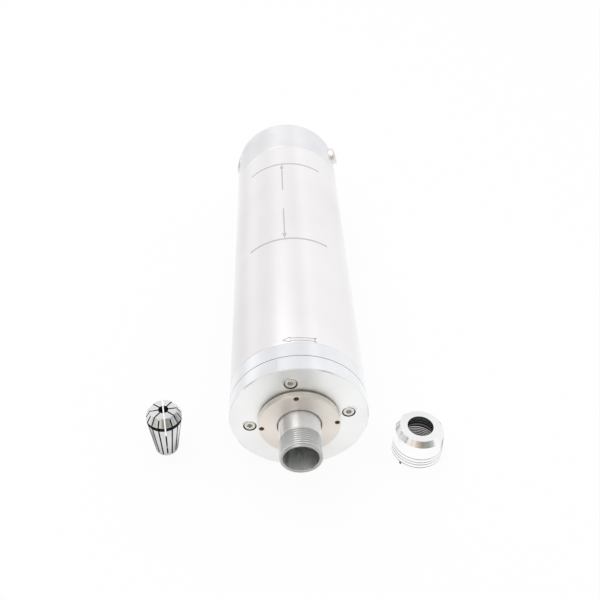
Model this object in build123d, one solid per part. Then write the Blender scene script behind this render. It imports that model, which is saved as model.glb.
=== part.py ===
from build123d import *
import os
from math import cos, pi, radians, sin, tan

# Motor spindle with its loose collet and clamping nut, millimetres, +Z up.
# The spindle lies along Y with its nose towards -Y.  The origin is on the spindle axis, in the
# middle of the marked clamping zone.  Places along the axis are stations: distances behind the
# front face of the front cap, so the nose has negative stations.  Angles run from +X towards +Z.

# ---- Housing: front cap, bearing housing, tube and rear housing share one ground diameter
body_d = 80.0
tube_wall = 3.0
cap_l = 10.5
front_band_l = 11.0
tube_l = 231.3
rear_band_l = 37.6
edge_break = 0.6
seam_break = 0.2
rear_seam_break = 0.45
zone_start = 124.5
zone_l = 100.0
assembly_gap = 0.05

# ---- Front cap and its screws
cap_spigot_l = 3.0
labyrinth_gap = 0.5
cap_screw_pcd = 57.5
cap_screw_angle = 11.3
cap_screws_n = 4
screw_d = 4.0
screw_l = 16.0
screw_head_d = 7.0
screw_head_l = 4.0
screw_socket = 3.0
screw_socket_l = 2.2
screw_hole_d = 4.4
counterbore_d = 7.8
screw_sink = 0.2
tapped_spare_l = 2.0

# ---- Front bearing pair 25 x 47 x 12, and rear bearing pair 17 x 35 x 10
front_bearing = {"bore": 25.0, "outside": 47.0, "width": 12.0, "ball": 6.35, "pitch": 36.0}
rear_bearing = {"bore": 17.0, "outside": 35.0, "width": 10.0, "ball": 4.76, "pitch": 26.0}
land_share = 0.45
race_gap = 0.05
front_spacer_l = 3.0
front_shoulder_t = 4.0
shoulder_lip = 3.0

# ---- Water jacket and O-rings
sleeve_wall = 3.0
channel_depth = 4.0
channel_end_land = 12.0
rib_n = 8
rib_w = 4.0
rib_gate = 9.0
oring_d = 2.0
oring_squeeze = 0.4
oring_groove_w = 2.4

# ---- Stator and rotor
stator_l = 110.0
stator_start = 82.0
slot_n = 18
slot_share = 0.687
slot_w = 4.6
slot_mouth = 1.0
slot_liner = 0.3
end_turn_l = 17.0
air_gap = 0.4
rotor_d = 33.0
rotor_bar_n = 12
rotor_bar_d = 4.0
rotor_bar_bridge = 0.9
end_ring_l = 7.0
end_ring_bore = 23.0

# ---- Shaft and nose
nose_l = 29.6
nose_d = 24.0
nose_thread_l = 13.5
nose_thread_pitch = 1.5
taper_mouth_d = 20.0
taper_half_angle = 8.0
mouth_chamfer = 0.45
nose_chamfer = 0.5
relief_d = 13.4
relief_l = 19.0
drill_point_l = 3.5
shaft_shoulder_d = 32.0
shaft_shoulder_l = 9.0
core_seat_d = 22.0
rear_journal_d = 20.0
rear_thread_l = 10.0
rear_bore_spare_l = 4.0
centre_drill_d = 5.0
centre_drill_l = 6.0

# ---- Labyrinth nut: the rotating disc that locks the front bearings
disc_d = 47.0
disc_proud = 5.0
disc_hub_d = 33.0
disc_edge_break = 0.3
disc_mouth_d = 26.0
disc_mouth_l = 3.0
disc_foot_l = 2.0
spanner_hole_d = 3.0
spanner_hole_l = 3.0
spanner_hole_pcd = 43.2
spanner_hole_angle = 6.6
spanner_holes_n = 4

# ---- Rear end: housing spigot, preload spring, lock nut, cover, coolant ports and connector
rear_spigot_l = 20.0
rear_lip_t = 3.0
rear_lip_bore = 29.0
spring_l = 2.4
spring_t = 1.2
rear_nut_d = 28.0
rear_nut_l = 8.0
chamber_d = 42.0
rear_cover_d = 60.0
rear_cover_l = 6.0
cover_screw_pcd = 52.0
cover_screw_angle = 45.0
cover_screws_n = 4
cover_screw_d = 3.0
cover_screw_l = 10.0
cover_socket = 2.5
cover_socket_l = 1.6
cover_head_d = 5.5
cover_head_l = 3.0
cover_hole_d = 3.4
cover_counterbore_d = 6.2
port_setback = 8.4
port_angles = {"right": 22.0, "left": 172.0}
port_collar_d = 13.0
port_proud = {"right": 3.1, "left": 0.8}
port_bore_d = 8.57
port_plug_d = 11.0
port_plug_l = 4.0
port_hole_l = 8.0
port_spot_l = 0.8
duct_d = 3.0
connector_hole_d = 16.0
connector_flange_d = 21.0
connector_flange_l = 2.0
connector_barrel_l = 12.0
connector_wall = 1.5
connector_nut_d = 20.0
connector_nut_l = 3.0
connector_insert_l = 10.0
connector_pins_n = 4
connector_pin_d = 2.0
connector_pin_pcd = 7.0
connector_pin_l = 18.0
connector_key_w = 1.6

# ---- Collet on the 21 mm diameter of ISO 15488 size 20, standing on its narrow end
collet_x = -79.1
collet_station = 14.3
collet_l = 33.5
collet_d = 21.0
collet_bore_d = 6.0
collet_front_angle = 30.0
collet_front_l = 4.8
collet_rim_l = 0.2
collet_foot_break = 0.4
collet_groove_l = 2.2
collet_groove_d = 17.4
collet_taper_top_d = 20.6
collet_slot_n = 8
collet_slot_w = 0.5
collet_front_slot_stop = 4.0
collet_rear_slot_stop = 2.8
collet_slot_angle = -80.2

# ---- Clamping nut, standing on its threaded end
nut_x = 73.9
nut_station = 9.5
nut_l = 23.0
nut_base_d = 31.0
nut_neck_d = 29.3
nut_top_d = 24.5
nut_cone_l = 3.5
nut_bore_d = 15.6
nut_bore_l = 2.0
nut_seat_d = 21.3
nut_lip_d = 19.4
nut_lip_l = 1.4
nut_groove_l = 1.3
nut_relief_d = 24.4
nut_relief_l = 1.8
nut_thread_mouth = 0.8
nut_rings = (3.1, 5.4, 7.4, 9.9)
nut_ring_w = 0.9
nut_ring_depth = 0.35
nut_balance_hole_d = 1.6
nut_balance_hole_l = 2.0
nut_balance_hole_z = 3.0
nut_balance_hole_angle = -148.0

# ---- Worked out from the sizes above
body_r = body_d / 2
tube_bore_r = body_r - tube_wall
zone_mid = zone_start + zone_l / 2
tube_start = cap_l + front_band_l
tube_end = tube_start + tube_l
rear_face = tube_end + rear_band_l
front_bearing_start = cap_l + cap_spigot_l
front_bearing_end = front_bearing_start + 2 * front_bearing["width"] + front_spacer_l
sleeve_start = front_bearing_end + front_shoulder_t
sleeve_end = tube_end - rear_spigot_l
sleeve_bore_r = tube_bore_r - channel_depth - sleeve_wall
channel_floor_r = tube_bore_r - channel_depth
stator_bore_r = rotor_d / 2 + air_gap
slot_depth = slot_share * (sleeve_bore_r - stator_bore_r)
stator_end = stator_start + stator_l
rear_bearing_start = sleeve_end + rear_lip_t + spring_l
rear_bearing_end = rear_bearing_start + 2 * rear_bearing["width"]
shaft_end = rear_bearing_end + rear_thread_l
cover_start = rear_face - rear_cover_l
port_station = rear_face - port_setback
duct_r = channel_floor_r + duct_d / 5
hub_bore_r = disc_hub_d / 2 + labyrinth_gap
thread_minor_d = nose_d - 1.0825 * nose_thread_pitch


def turned(*outline):
    """Solid of revolution about the spindle axis from (radius, station) corners."""
    corners = [(radius, station - zone_mid) for radius, station in outline]
    return revolve(make_face(Polyline(*corners, close=True)), axis=Axis.Y)


def ring(outer_r, inner_r, start, end):
    """Plain ring about the spindle axis."""
    return turned((inner_r, start), (outer_r, start), (outer_r, end), (inner_r, end))


def bar(radius, start, end, from_axis=0.0, angle=0.0):
    """Round bar parallel to the spindle axis, between two stations."""
    x = from_axis * cos(radians(angle))
    z = from_axis * sin(radians(angle))
    middle = (start + end) / 2 - zone_mid
    return Pos(x, middle, z) * Rot(90, 0, 0) * Cylinder(radius, end - start)


def spoke(radius, inner_r, outer_r, station, angle):
    """Round bar pointing out from the spindle axis at an angle."""
    middle = Pos((inner_r + outer_r) / 2, 0, 0) * Rot(0, 90, 0) * Cylinder(radius, outer_r - inner_r)
    return Pos(0, station - zone_mid, 0) * Rot(0, -angle, 0) * middle


def angles(count, first=0.0):
    """Equal angles round a full turn."""
    return [first + 360.0 * index / count for index in range(count)]


def save(shape, name):
    shape.label = name
    export_step(shape, "parts/" + name + ".step")


# ---------------------------------------------------------------- housing
def front_cap():
    """End cap: clamps the front bearings' outer rings, with counterbored screw holes."""
    spigot_r = front_bearing["outside"] / 2 - assembly_gap
    relief_r = front_bearing["outside"] / 2 - shoulder_lip
    end = cap_l + cap_spigot_l
    cap = turned(
        (hub_bore_r, 0), (body_r - edge_break, 0), (body_r, edge_break),
        (body_r, cap_l - seam_break), (body_r - seam_break, cap_l), (spigot_r, cap_l),
        (spigot_r, end), (relief_r, end), (relief_r, cap_l), (hub_bore_r, cap_l),
    )
    for angle in angles(cap_screws_n, cap_screw_angle):
        cap -= bar(screw_hole_d / 2, 0, cap_l, cap_screw_pcd / 2, angle)
        cap -= bar(counterbore_d / 2, 0, screw_head_l + screw_sink, cap_screw_pcd / 2, angle)
    return cap


def socket_screw(head_d, head_l, shank_d, shank_l, socket, socket_l, head_start, into, pcd, angle):
    """Socket head cap screw, entering along +Y (into = 1) or -Y (into = -1)."""
    def along(distance):
        return head_start + into * distance

    def stretch(radius, first, last):
        low, high = sorted((along(first), along(last)))
        return bar(radius, low, high, pcd / 2, angle)

    screw = stretch(head_d / 2, 0, head_l) + stretch(shank_d / 2, head_l, head_l + shank_l)
    prism = extrude(RegularPolygon(socket / 2, 6, major_radius=False), socket_l / 2, both=True)
    x = pcd / 2 * cos(radians(angle))
    z = pcd / 2 * sin(radians(angle))
    place = Pos(x, along(socket_l / 2) - zone_mid, z) * Rot(90, 0, 0)
    return screw - place * prism


def cap_screws():
    group = [
        socket_screw(screw_head_d, screw_head_l, screw_d, screw_l, screw_socket,
                     screw_socket_l, screw_sink, 1, cap_screw_pcd, angle)
        for angle in angles(cap_screws_n, cap_screw_angle)
    ]
    return Compound(children=group)


def front_bearing_housing():
    """Band behind the cap, bearing bore, inner shoulder and the spigot that fits the tube."""
    bore_r = front_bearing["outside"] / 2
    lip_r = bore_r - shoulder_lip
    spigot_r = tube_bore_r - assembly_gap
    groove_start = (tube_start + sleeve_start) / 2
    housing = turned(
        (bore_r, cap_l), (body_r - seam_break, cap_l), (body_r, cap_l + seam_break),
        (body_r, tube_start - seam_break), (body_r - seam_break, tube_start),
        (spigot_r, tube_start), (spigot_r, sleeve_start), (lip_r, sleeve_start),
        (lip_r, front_bearing_end), (bore_r, front_bearing_end),
    )
    housing -= oring_groove(groove_start)
    tapped_end = screw_sink + screw_head_l + screw_l + tapped_spare_l
    for angle in angles(cap_screws_n, cap_screw_angle):
        housing -= bar(screw_d / 2, cap_l, tapped_end, cap_screw_pcd / 2, angle)
    return housing


def oring_groove(start):
    """Groove for a jacket O-ring in an outside diameter that fits the tube."""
    floor_r = tube_bore_r - oring_d + oring_squeeze
    return ring(body_r, floor_r, start, start + oring_groove_w)


def oring(start):
    """Squeezed O-ring in its groove, touching the groove floor and the tube."""
    floor_r = tube_bore_r - oring_d + oring_squeeze
    slack = (oring_groove_w - oring_d) / 2
    return ring(tube_bore_r, floor_r, start + slack, start + slack + oring_d)


def jacket_orings():
    starts = [(tube_start + sleeve_start) / 2, sleeve_seal_starts()[0]]
    starts += [sleeve_seal_starts()[1], (sleeve_end + tube_end) / 2]
    return Compound(children=[oring(start) for start in starts])


def sleeve_seal_starts():
    inset = (channel_end_land - oring_groove_w) / 2
    return [sleeve_start + inset, sleeve_end - inset - oring_groove_w]


def housing_tube():
    return turned(
        (tube_bore_r, tube_start), (body_r - seam_break, tube_start),
        (body_r, tube_start + seam_break), (body_r, tube_end - rear_seam_break),
        (body_r - rear_seam_break, tube_end), (tube_bore_r, tube_end),
    )


def cooling_sleeve():
    """Water jacket: axial channels between ribs whose gates alternate end for end."""
    outer_r = tube_bore_r - assembly_gap
    low = sleeve_start + channel_end_land
    high = sleeve_end - channel_end_land
    sleeve = ring(outer_r, sleeve_bore_r, sleeve_start, sleeve_end)
    sleeve -= ring(body_r, channel_floor_r, low, high)
    rib_band = ring(outer_r, channel_floor_r - sleeve_wall / 2, low, high)
    port_angle = port_angles["right"]
    for index, angle in enumerate(angles(rib_n, port_angle + 180.0 / rib_n)):
        gate_front = index % 2 == 0
        first = low + rib_gate if gate_front else low
        last = high if gate_front else high - rib_gate
        slab = Pos(body_r / 2, (first + last) / 2 - zone_mid, 0) * Box(body_r, last - first, rib_w)
        sleeve += (Rot(0, -angle, 0) * slab) & rib_band
    for start in sleeve_seal_starts():
        sleeve -= oring_groove(start)
    for angle in port_angles.values():
        sleeve -= bar(duct_d / 2, high, sleeve_end, duct_r, angle)
    return sleeve


# ---------------------------------------------------------------- stator
def slot_cutter(liner, start, end, angle):
    """One stator slot, or the coil side that fills it when the liner thickness is taken off."""
    inner_r = stator_bore_r + slot_mouth + liner
    outer_r = stator_bore_r + slot_depth - liner
    width = slot_w - 2 * liner
    slab = Box(outer_r - inner_r, end - start, width)
    middle_y = (start + end) / 2 - zone_mid
    return Rot(0, -angle, 0) * Pos((inner_r + outer_r) / 2, middle_y, 0) * slab


def stator_core():
    core = ring(sleeve_bore_r, stator_bore_r, stator_start, stator_end)
    for angle in angles(slot_n):
        core -= slot_cutter(0.0, stator_start, stator_end, angle)
    return core


def stator_winding():
    """Coil sides through every slot, joined by the end turns at both ends."""
    inner_r = stator_bore_r + slot_mouth
    outer_r = stator_bore_r + slot_depth
    front = ring(outer_r, inner_r, stator_start - end_turn_l, stator_start - slot_liner)
    rear = ring(outer_r, inner_r, stator_end + slot_liner, stator_end + end_turn_l)
    winding = front + rear
    for angle in angles(slot_n):
        winding += slot_cutter(slot_liner, stator_start - slot_liner, stator_end + slot_liner, angle)
    return winding


# ---------------------------------------------------------------- bearings
def race_step(bearing, start, land_first):
    """Station where a ring's land ends, just clear of the balls."""
    half = bearing["ball"] / 2 + race_gap
    middle = start + bearing["width"] / 2
    return middle - half if land_first else middle + half


def outer_race(bearing, start, land_first):
    """Angular-contact outer ring: one land beside the ball track, the other side relieved."""
    outer_r = bearing["outside"] / 2
    track_r = bearing["pitch"] / 2 + bearing["ball"] / 2 + race_gap
    land_r = track_r - land_share * bearing["ball"] / 2
    end = start + bearing["width"]
    step = race_step(bearing, start, land_first)
    first_r, last_r = (land_r, track_r) if land_first else (track_r, land_r)
    return turned((first_r, start), (outer_r, start), (outer_r, end),
                  (last_r, end), (last_r, step), (first_r, step))


def inner_race(bearing, start, land_first):
    inner_r = bearing["bore"] / 2
    track_r = bearing["pitch"] / 2 - bearing["ball"] / 2 - race_gap
    land_r = track_r + land_share * bearing["ball"] / 2
    end = start + bearing["width"]
    step = race_step(bearing, start, land_first)
    first_r, last_r = (land_r, track_r) if land_first else (track_r, land_r)
    return turned((inner_r, start), (first_r, start), (first_r, step),
                  (last_r, step), (last_r, end), (inner_r, end))


def both(make, bearing, start, spacing):
    """Two equal bearing rings, mounted back to back."""
    second = start + bearing["width"] + spacing
    return Compound(children=[make(bearing, start, True), make(bearing, second, False)])


def ball_row(bearing, start):
    """Balls in their cage, as one ring of the balls' height and width."""
    half = bearing["ball"] / 2
    pitch_r = bearing["pitch"] / 2
    middle = start + bearing["width"] / 2
    return ring(pitch_r + half, pitch_r - half, middle - half, middle + half)


def ball_rows(bearing, start, spacing):
    second = start + bearing["width"] + spacing
    return Compound(children=[ball_row(bearing, start), ball_row(bearing, second)])


def front_outer_spacer():
    start = front_bearing_start + front_bearing["width"]
    outer_r = front_bearing["outside"] / 2
    return ring(outer_r, outer_r - shoulder_lip, start, start + front_spacer_l)


def front_inner_spacer():
    start = front_bearing_start + front_bearing["width"]
    inner_r = front_bearing["bore"] / 2
    outer_r = (front_bearing["pitch"] - front_bearing["ball"]) / 2
    return ring(outer_r, inner_r, start, start + front_spacer_l)


# ---------------------------------------------------------------- rotor
def spindle_shaft():
    """Shaft from the tapered, threaded nose to the rear lock-nut thread."""
    tip = -nose_l
    nose_r = nose_d / 2
    mouth_r = taper_mouth_d / 2
    relief_r = relief_d / 2
    taper_end = tip + mouth_chamfer + (mouth_r - relief_r) / tan(radians(taper_half_angle))
    relief_end = taper_end + relief_l
    front_r = front_bearing["bore"] / 2
    nut_seat = disc_mouth_l - disc_proud
    shoulder_end = front_bearing_end + shaft_shoulder_l
    drill_r = centre_drill_d / 2
    return turned(
        (mouth_r + mouth_chamfer, tip), (nose_r - nose_chamfer, tip), (nose_r, tip + nose_chamfer),
        (nose_r, nut_seat), (front_r, nut_seat), (front_r, front_bearing_end),
        (shaft_shoulder_d / 2, front_bearing_end), (shaft_shoulder_d / 2, shoulder_end),
        (core_seat_d / 2, shoulder_end), (core_seat_d / 2, stator_end),
        (rear_journal_d / 2, stator_end), (rear_journal_d / 2, rear_bearing_start),
        (rear_bearing["bore"] / 2, rear_bearing_start), (rear_bearing["bore"] / 2, shaft_end),
        (drill_r, shaft_end), (0, shaft_end - centre_drill_l), (0, relief_end + drill_point_l),
        (relief_r, relief_end), (relief_r, taper_end), (mouth_r, tip + mouth_chamfer),
    )


def labyrinth_nut():
    """Disc in front of the cap with a hub that presses on the front bearings' inner rings."""
    disc_r = disc_d / 2
    hub_r = disc_hub_d / 2
    thread_r = front_bearing["bore"] / 2 + assembly_gap
    foot_r = (front_bearing["pitch"] - front_bearing["ball"]) / 2
    mouth_end = disc_mouth_l - disc_proud
    nut = turned(
        (disc_mouth_d / 2, -disc_proud), (disc_r - disc_edge_break, -disc_proud),
        (disc_r, disc_edge_break - disc_proud), (disc_r, -labyrinth_gap), (hub_r, -labyrinth_gap),
        (hub_r, front_bearing_start - disc_foot_l), (foot_r, front_bearing_start - disc_foot_l),
        (foot_r, front_bearing_start), (thread_r, front_bearing_start), (thread_r, mouth_end),
        (disc_mouth_d / 2, mouth_end),
    )
    hole_end = spanner_hole_l - disc_proud
    for angle in angles(spanner_holes_n, spanner_hole_angle):
        nut -= bar(spanner_hole_d / 2, -disc_proud, hole_end, spanner_hole_pcd / 2, angle)
    return nut


def rotor_bar_circle():
    """Radius of the circle on which the rotor bars lie."""
    return rotor_d / 2 - rotor_bar_bridge - rotor_bar_d / 2


def rotor_core():
    core = ring(rotor_d / 2, core_seat_d / 2, stator_start, stator_end)
    for angle in angles(rotor_bar_n):
        core -= bar(rotor_bar_d / 2, stator_start, stator_end, rotor_bar_circle(), angle)
    return core


def rotor_cage():
    """Squirrel cage: bars through the core, joined by a ring at each end."""
    outer_r = rotor_d / 2 - rotor_bar_bridge / 2
    cage = ring(outer_r, end_ring_bore / 2, stator_start - end_ring_l, stator_start)
    cage += ring(outer_r, end_ring_bore / 2, stator_end, stator_end + end_ring_l)
    for angle in angles(rotor_bar_n):
        cage += bar(rotor_bar_d / 2, stator_start, stator_end, rotor_bar_circle(), angle)
    return cage


def rear_lock_nut():
    bore_r = rear_bearing["bore"] / 2 + assembly_gap
    return ring(rear_nut_d / 2, bore_r, rear_bearing_end, rear_bearing_end + rear_nut_l)


# ---------------------------------------------------------------- rear end
def rear_housing():
    """Rear band, spigot, bearing bore, wiring chamber, coolant ducts and port holes."""
    spigot_r = tube_bore_r - assembly_gap
    bore_r = rear_bearing["outside"] / 2
    bore_end = rear_bearing_end + rear_bore_spare_l
    cover_r = rear_cover_d / 2
    housing = turned(
        (rear_lip_bore / 2, sleeve_end), (spigot_r, sleeve_end), (spigot_r, tube_end),
        (body_r - rear_seam_break, tube_end), (body_r, tube_end + rear_seam_break),
        (body_r, rear_face - edge_break), (body_r - edge_break, rear_face), (cover_r, rear_face),
        (cover_r, cover_start), (chamber_d / 2, cover_start), (chamber_d / 2, bore_end),
        (bore_r, bore_end), (bore_r, sleeve_end + rear_lip_t),
        (rear_lip_bore / 2, sleeve_end + rear_lip_t),
    )
    housing -= oring_groove((sleeve_end + tube_end) / 2)
    for angle in port_angles.values():
        housing -= bar(duct_d / 2, sleeve_end, port_station, duct_r, angle)
        housing -= spoke(port_plug_d / 2, body_r - port_hole_l, body_r, port_station, angle)
        housing -= spoke(port_collar_d / 2, body_r - port_spot_l, body_r, port_station, angle)
    tapped_start = rear_face - screw_sink - cover_head_l - cover_screw_l - tapped_spare_l
    for angle in angles(cover_screws_n, cover_screw_angle):
        housing -= bar(cover_screw_d / 2, tapped_start, cover_start, cover_screw_pcd / 2, angle)
    return housing


def preload_spring():
    """Disc spring between the housing's lip and the rear outer rings."""
    start = sleeve_end + rear_lip_t
    outer_r = rear_bearing["outside"] / 2 - assembly_gap
    inner_r = rear_lip_bore / 2 + assembly_gap
    rise = spring_l - spring_t
    return turned((inner_r, start), (outer_r, start + rise), (outer_r, start + spring_l),
                  (inner_r, start + spring_t))


def rear_cover():
    """Inset end cover with the connector hole and counterbored screw holes."""
    cover = ring(rear_cover_d / 2 - assembly_gap, connector_hole_d / 2, cover_start, rear_face)
    for angle in angles(cover_screws_n, cover_screw_angle):
        sink_start = rear_face - cover_head_l - screw_sink
        cover -= bar(cover_hole_d / 2, cover_start, rear_face, cover_screw_pcd / 2, angle)
        cover -= bar(cover_counterbore_d / 2, sink_start, rear_face, cover_screw_pcd / 2, angle)
    return cover


def cover_screws():
    group = [
        socket_screw(cover_head_d, cover_head_l, cover_screw_d, cover_screw_l, cover_socket,
                     cover_socket_l, rear_face - screw_sink, -1, cover_screw_pcd, angle)
        for angle in angles(cover_screws_n, cover_screw_angle)
    ]
    return Compound(children=group)


def coolant_port(side):
    """Threaded bush screwed into the rear housing: a tall collar right, a nearly flush one left."""
    angle = port_angles[side]
    seat_r = body_r - port_spot_l
    end_r = body_r + port_proud[side]
    plug_start_r = seat_r - port_plug_l
    bush = spoke(port_collar_d / 2, seat_r, end_r, port_station, angle)
    bush += spoke(port_plug_d / 2, plug_start_r, seat_r, port_station, angle)
    return bush - spoke(port_bore_d / 2, plug_start_r, end_r, port_station, angle)


def connector_shell():
    """Flanged barrel through the rear cover, with a keyway for the plug."""
    barrel_r = connector_hole_d / 2 - assembly_gap
    inner_r = connector_hole_d / 2 - connector_wall
    start = cover_start - connector_nut_l - screw_sink
    end = rear_face + connector_flange_l + connector_barrel_l
    shell = ring(barrel_r, inner_r, start, end)
    shell += ring(connector_flange_d / 2, inner_r, rear_face, rear_face + connector_flange_l)
    key_l = connector_barrel_l / 2
    keyway = Box(connector_key_w, key_l, connector_wall * 2)
    return shell - Pos(0, end - key_l / 2 - zone_mid, barrel_r) * keyway


def connector_nut():
    bore_r = connector_hole_d / 2
    return ring(connector_nut_d / 2, bore_r, cover_start - connector_nut_l, cover_start)


def connector_insert_start():
    return rear_face + connector_flange_l - connector_insert_l


def connector_insert():
    """Insulator that carries the contact pins."""
    start = connector_insert_start()
    outer_r = connector_hole_d / 2 - connector_wall
    insert = bar(outer_r, start, start + connector_insert_l)
    for angle in angles(connector_pins_n, cover_screw_angle):
        insert -= bar(connector_pin_d / 2, start, start + connector_insert_l,
                      connector_pin_pcd / 2, angle)
    return insert


def connector_pins():
    start = connector_insert_start() + (connector_insert_l - connector_pin_l) / 2
    pins = [
        bar(connector_pin_d / 2, start, start + connector_pin_l, connector_pin_pcd / 2, angle)
        for angle in angles(connector_pins_n, cover_screw_angle)
    ]
    return Compound(children=pins)


# ---------------------------------------------------------------- loose pieces on the bench
def upright(*outline):
    """Solid of revolution about a vertical axis from (radius, height) corners."""
    return revolve(make_face(Plane.XZ * Polyline(*outline, close=True)), axis=Axis.Z)


def stand(shape, x, station):
    """Move a loose piece from the origin to its place on the surface under the housing."""
    return Pos(x, station - zone_mid, -body_r) * shape


def slot_plates(low, high, first_angle):
    """Thin plates through a vertical axis that cut the collet's slots two at a time."""
    plate = Pos(0, 0, (low + high) / 2) * Box(collet_d * 2, collet_slot_w, high - low)
    count = collet_slot_n // 2
    return [Rot(0, 0, first_angle + 180.0 * index / count) * plate for index in range(count)]


def collet():
    """Tapered spring collet: front cone, rim, pull-out groove, taper and two sets of slots."""
    rim_r = collet_d / 2
    bore_r = collet_bore_d / 2
    cone_start = collet_l - collet_front_l
    face_r = rim_r - collet_front_l * tan(radians(collet_front_angle))
    groove_top = cone_start - collet_rim_l
    taper_top = groove_top - collet_groove_l
    top_r = collet_taper_top_d / 2
    foot_r = top_r - (taper_top - collet_foot_break) * tan(radians(taper_half_angle))
    body = upright(
        (bore_r, 0), (foot_r - collet_foot_break, 0), (foot_r, collet_foot_break),
        (top_r, taper_top), (collet_groove_d / 2, taper_top), (collet_groove_d / 2, groove_top),
        (rim_r, groove_top), (rim_r, cone_start), (face_r, collet_l), (bore_r, collet_l),
    )
    for plate in slot_plates(collet_front_slot_stop, collet_l, collet_slot_angle):
        body -= plate
    half_step = 180.0 / collet_slot_n
    for plate in slot_plates(0, collet_l - collet_rear_slot_stop, collet_slot_angle + half_step):
        body -= plate
    return stand(body, collet_x, collet_station)


def clamping_nut():
    """Collet nut: conical seat, extracting lip, internal thread and gripping rings."""
    base_r = nut_base_d / 2
    neck_r = nut_neck_d / 2
    neck_z = nut_l - nut_cone_l
    bore_r = nut_bore_d / 2
    seat_r = nut_seat_d / 2
    thread_r = thread_minor_d / 2
    seat_top = nut_l - nut_bore_l
    seat_low = seat_top - (seat_r - bore_r) / tan(radians(collet_front_angle))
    groove_low = seat_low - nut_groove_l
    lip_low = groove_low - nut_lip_l
    relief_low = lip_low - nut_relief_l
    nut = upright(
        (thread_r + nut_thread_mouth, 0), (base_r, 0), (neck_r, neck_z), (nut_top_d / 2, nut_l),
        (bore_r, nut_l), (bore_r, seat_top), (seat_r, seat_low), (seat_r, groove_low),
        (nut_lip_d / 2, groove_low), (nut_lip_d / 2, lip_low), (nut_relief_d / 2, lip_low),
        (nut_relief_d / 2, relief_low), (thread_r, relief_low), (thread_r, nut_thread_mouth),
    )
    for height in nut_rings:
        floor_r = base_r - (base_r - neck_r) * height / neck_z - nut_ring_depth
        low = height - nut_ring_w / 2
        nut -= upright((floor_r, low), (base_r * 2, low), (base_r * 2, low + nut_ring_w),
                       (floor_r, low + nut_ring_w))
    drill = Pos(base_r, 0, nut_balance_hole_z) * Rot(0, 90, 0)
    drill *= Cylinder(nut_balance_hole_d / 2, nut_balance_hole_l * 2)
    nut -= Rot(0, 0, nut_balance_hole_angle) * drill
    return stand(nut, nut_x, nut_station)


# ---------------------------------------------------------------- assembly
pieces = {
    "front_cap": front_cap(),
    "cap_screws": cap_screws(),
    "front_bearing_housing": front_bearing_housing(),
    "housing_tube": housing_tube(),
    "cooling_sleeve": cooling_sleeve(),
    "jacket_orings": jacket_orings(),
    "stator_core": stator_core(),
    "stator_winding": stator_winding(),
    "front_bearing_outer_rings": both(outer_race, front_bearing, front_bearing_start, front_spacer_l),
    "front_outer_spacer": front_outer_spacer(),
    "rear_bearing_outer_rings": both(outer_race, rear_bearing, rear_bearing_start, 0.0),
    "preload_spring": preload_spring(),
    "rear_housing": rear_housing(),
    "rear_cover": rear_cover(),
    "cover_screws": cover_screws(),
    "connector_shell": connector_shell(),
    "connector_nut": connector_nut(),
    "connector_insert": connector_insert(),
    "connector_pins": connector_pins(),
    "spindle_shaft": spindle_shaft(),
    "labyrinth_nut": labyrinth_nut(),
    "front_bearing_inner_rings": both(inner_race, front_bearing, front_bearing_start, front_spacer_l),
    "front_inner_spacer": front_inner_spacer(),
    "rotor_core": rotor_core(),
    "rotor_cage": rotor_cage(),
    "rear_bearing_inner_rings": both(inner_race, rear_bearing, rear_bearing_start, 0.0),
    "rear_lock_nut": rear_lock_nut(),
    "front_ball_rows": ball_rows(front_bearing, front_bearing_start, front_spacer_l),
    "rear_ball_rows": ball_rows(rear_bearing, rear_bearing_start, 0.0),
    "collet": collet(),
    "clamping_nut": clamping_nut(),
}
for side in port_angles:
    pieces["coolant_port_" + side] = coolant_port(side)

os.makedirs("parts", exist_ok=True)
for name, shape in pieces.items():
    save(shape, name)
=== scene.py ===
from math import cos, pi, radians, sin, tan

import bmesh
import bpy
from mathutils import Matrix, Vector


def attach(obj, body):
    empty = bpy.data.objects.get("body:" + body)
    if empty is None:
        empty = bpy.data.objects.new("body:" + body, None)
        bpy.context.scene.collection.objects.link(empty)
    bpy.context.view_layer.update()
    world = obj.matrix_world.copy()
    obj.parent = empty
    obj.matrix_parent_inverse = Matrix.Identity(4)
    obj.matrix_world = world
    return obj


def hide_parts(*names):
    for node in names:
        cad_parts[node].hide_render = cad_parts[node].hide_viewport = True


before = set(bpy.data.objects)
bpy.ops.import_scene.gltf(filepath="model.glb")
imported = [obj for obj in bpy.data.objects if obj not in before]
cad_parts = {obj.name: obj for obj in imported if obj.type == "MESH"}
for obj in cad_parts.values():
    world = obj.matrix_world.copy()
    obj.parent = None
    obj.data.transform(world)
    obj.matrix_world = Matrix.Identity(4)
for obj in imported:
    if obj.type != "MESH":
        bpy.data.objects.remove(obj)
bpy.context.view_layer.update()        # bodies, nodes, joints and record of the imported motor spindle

# Motor spindle with its loose collet and clamping nut.  Shapes are made in millimetres at their
# stations, the distances behind the front cap's face, and settle into the frame in metres.
# Angles run round the spindle axis from +X towards +Z.

# ---- Housing
BODY_R = 40.0
TUBE_BORE_R = 37.0
CAP_L = 10.5
TUBE_START = 21.5
TUBE_END = 252.8
REAR_FACE = 290.4
EDGE_BREAK = 0.6
SEAM_BREAK = 0.2
SEAM_LINE_W = 0.35
SEAM_LINE_DEPTH = 0.4
FIT_GAP = 0.05
RING_GROOVE = (33.0, 35.4)   # stations of the groove for the front water seal
RING_GROOVE_R = 35.4
BAND_BORE_R = 23.5
BAND_LIP_R = 20.5
ZONE_START = 124.5
ZONE_END = 224.5
ZONE_MID = 174.5
FLOOR_Z = -40.0

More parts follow.
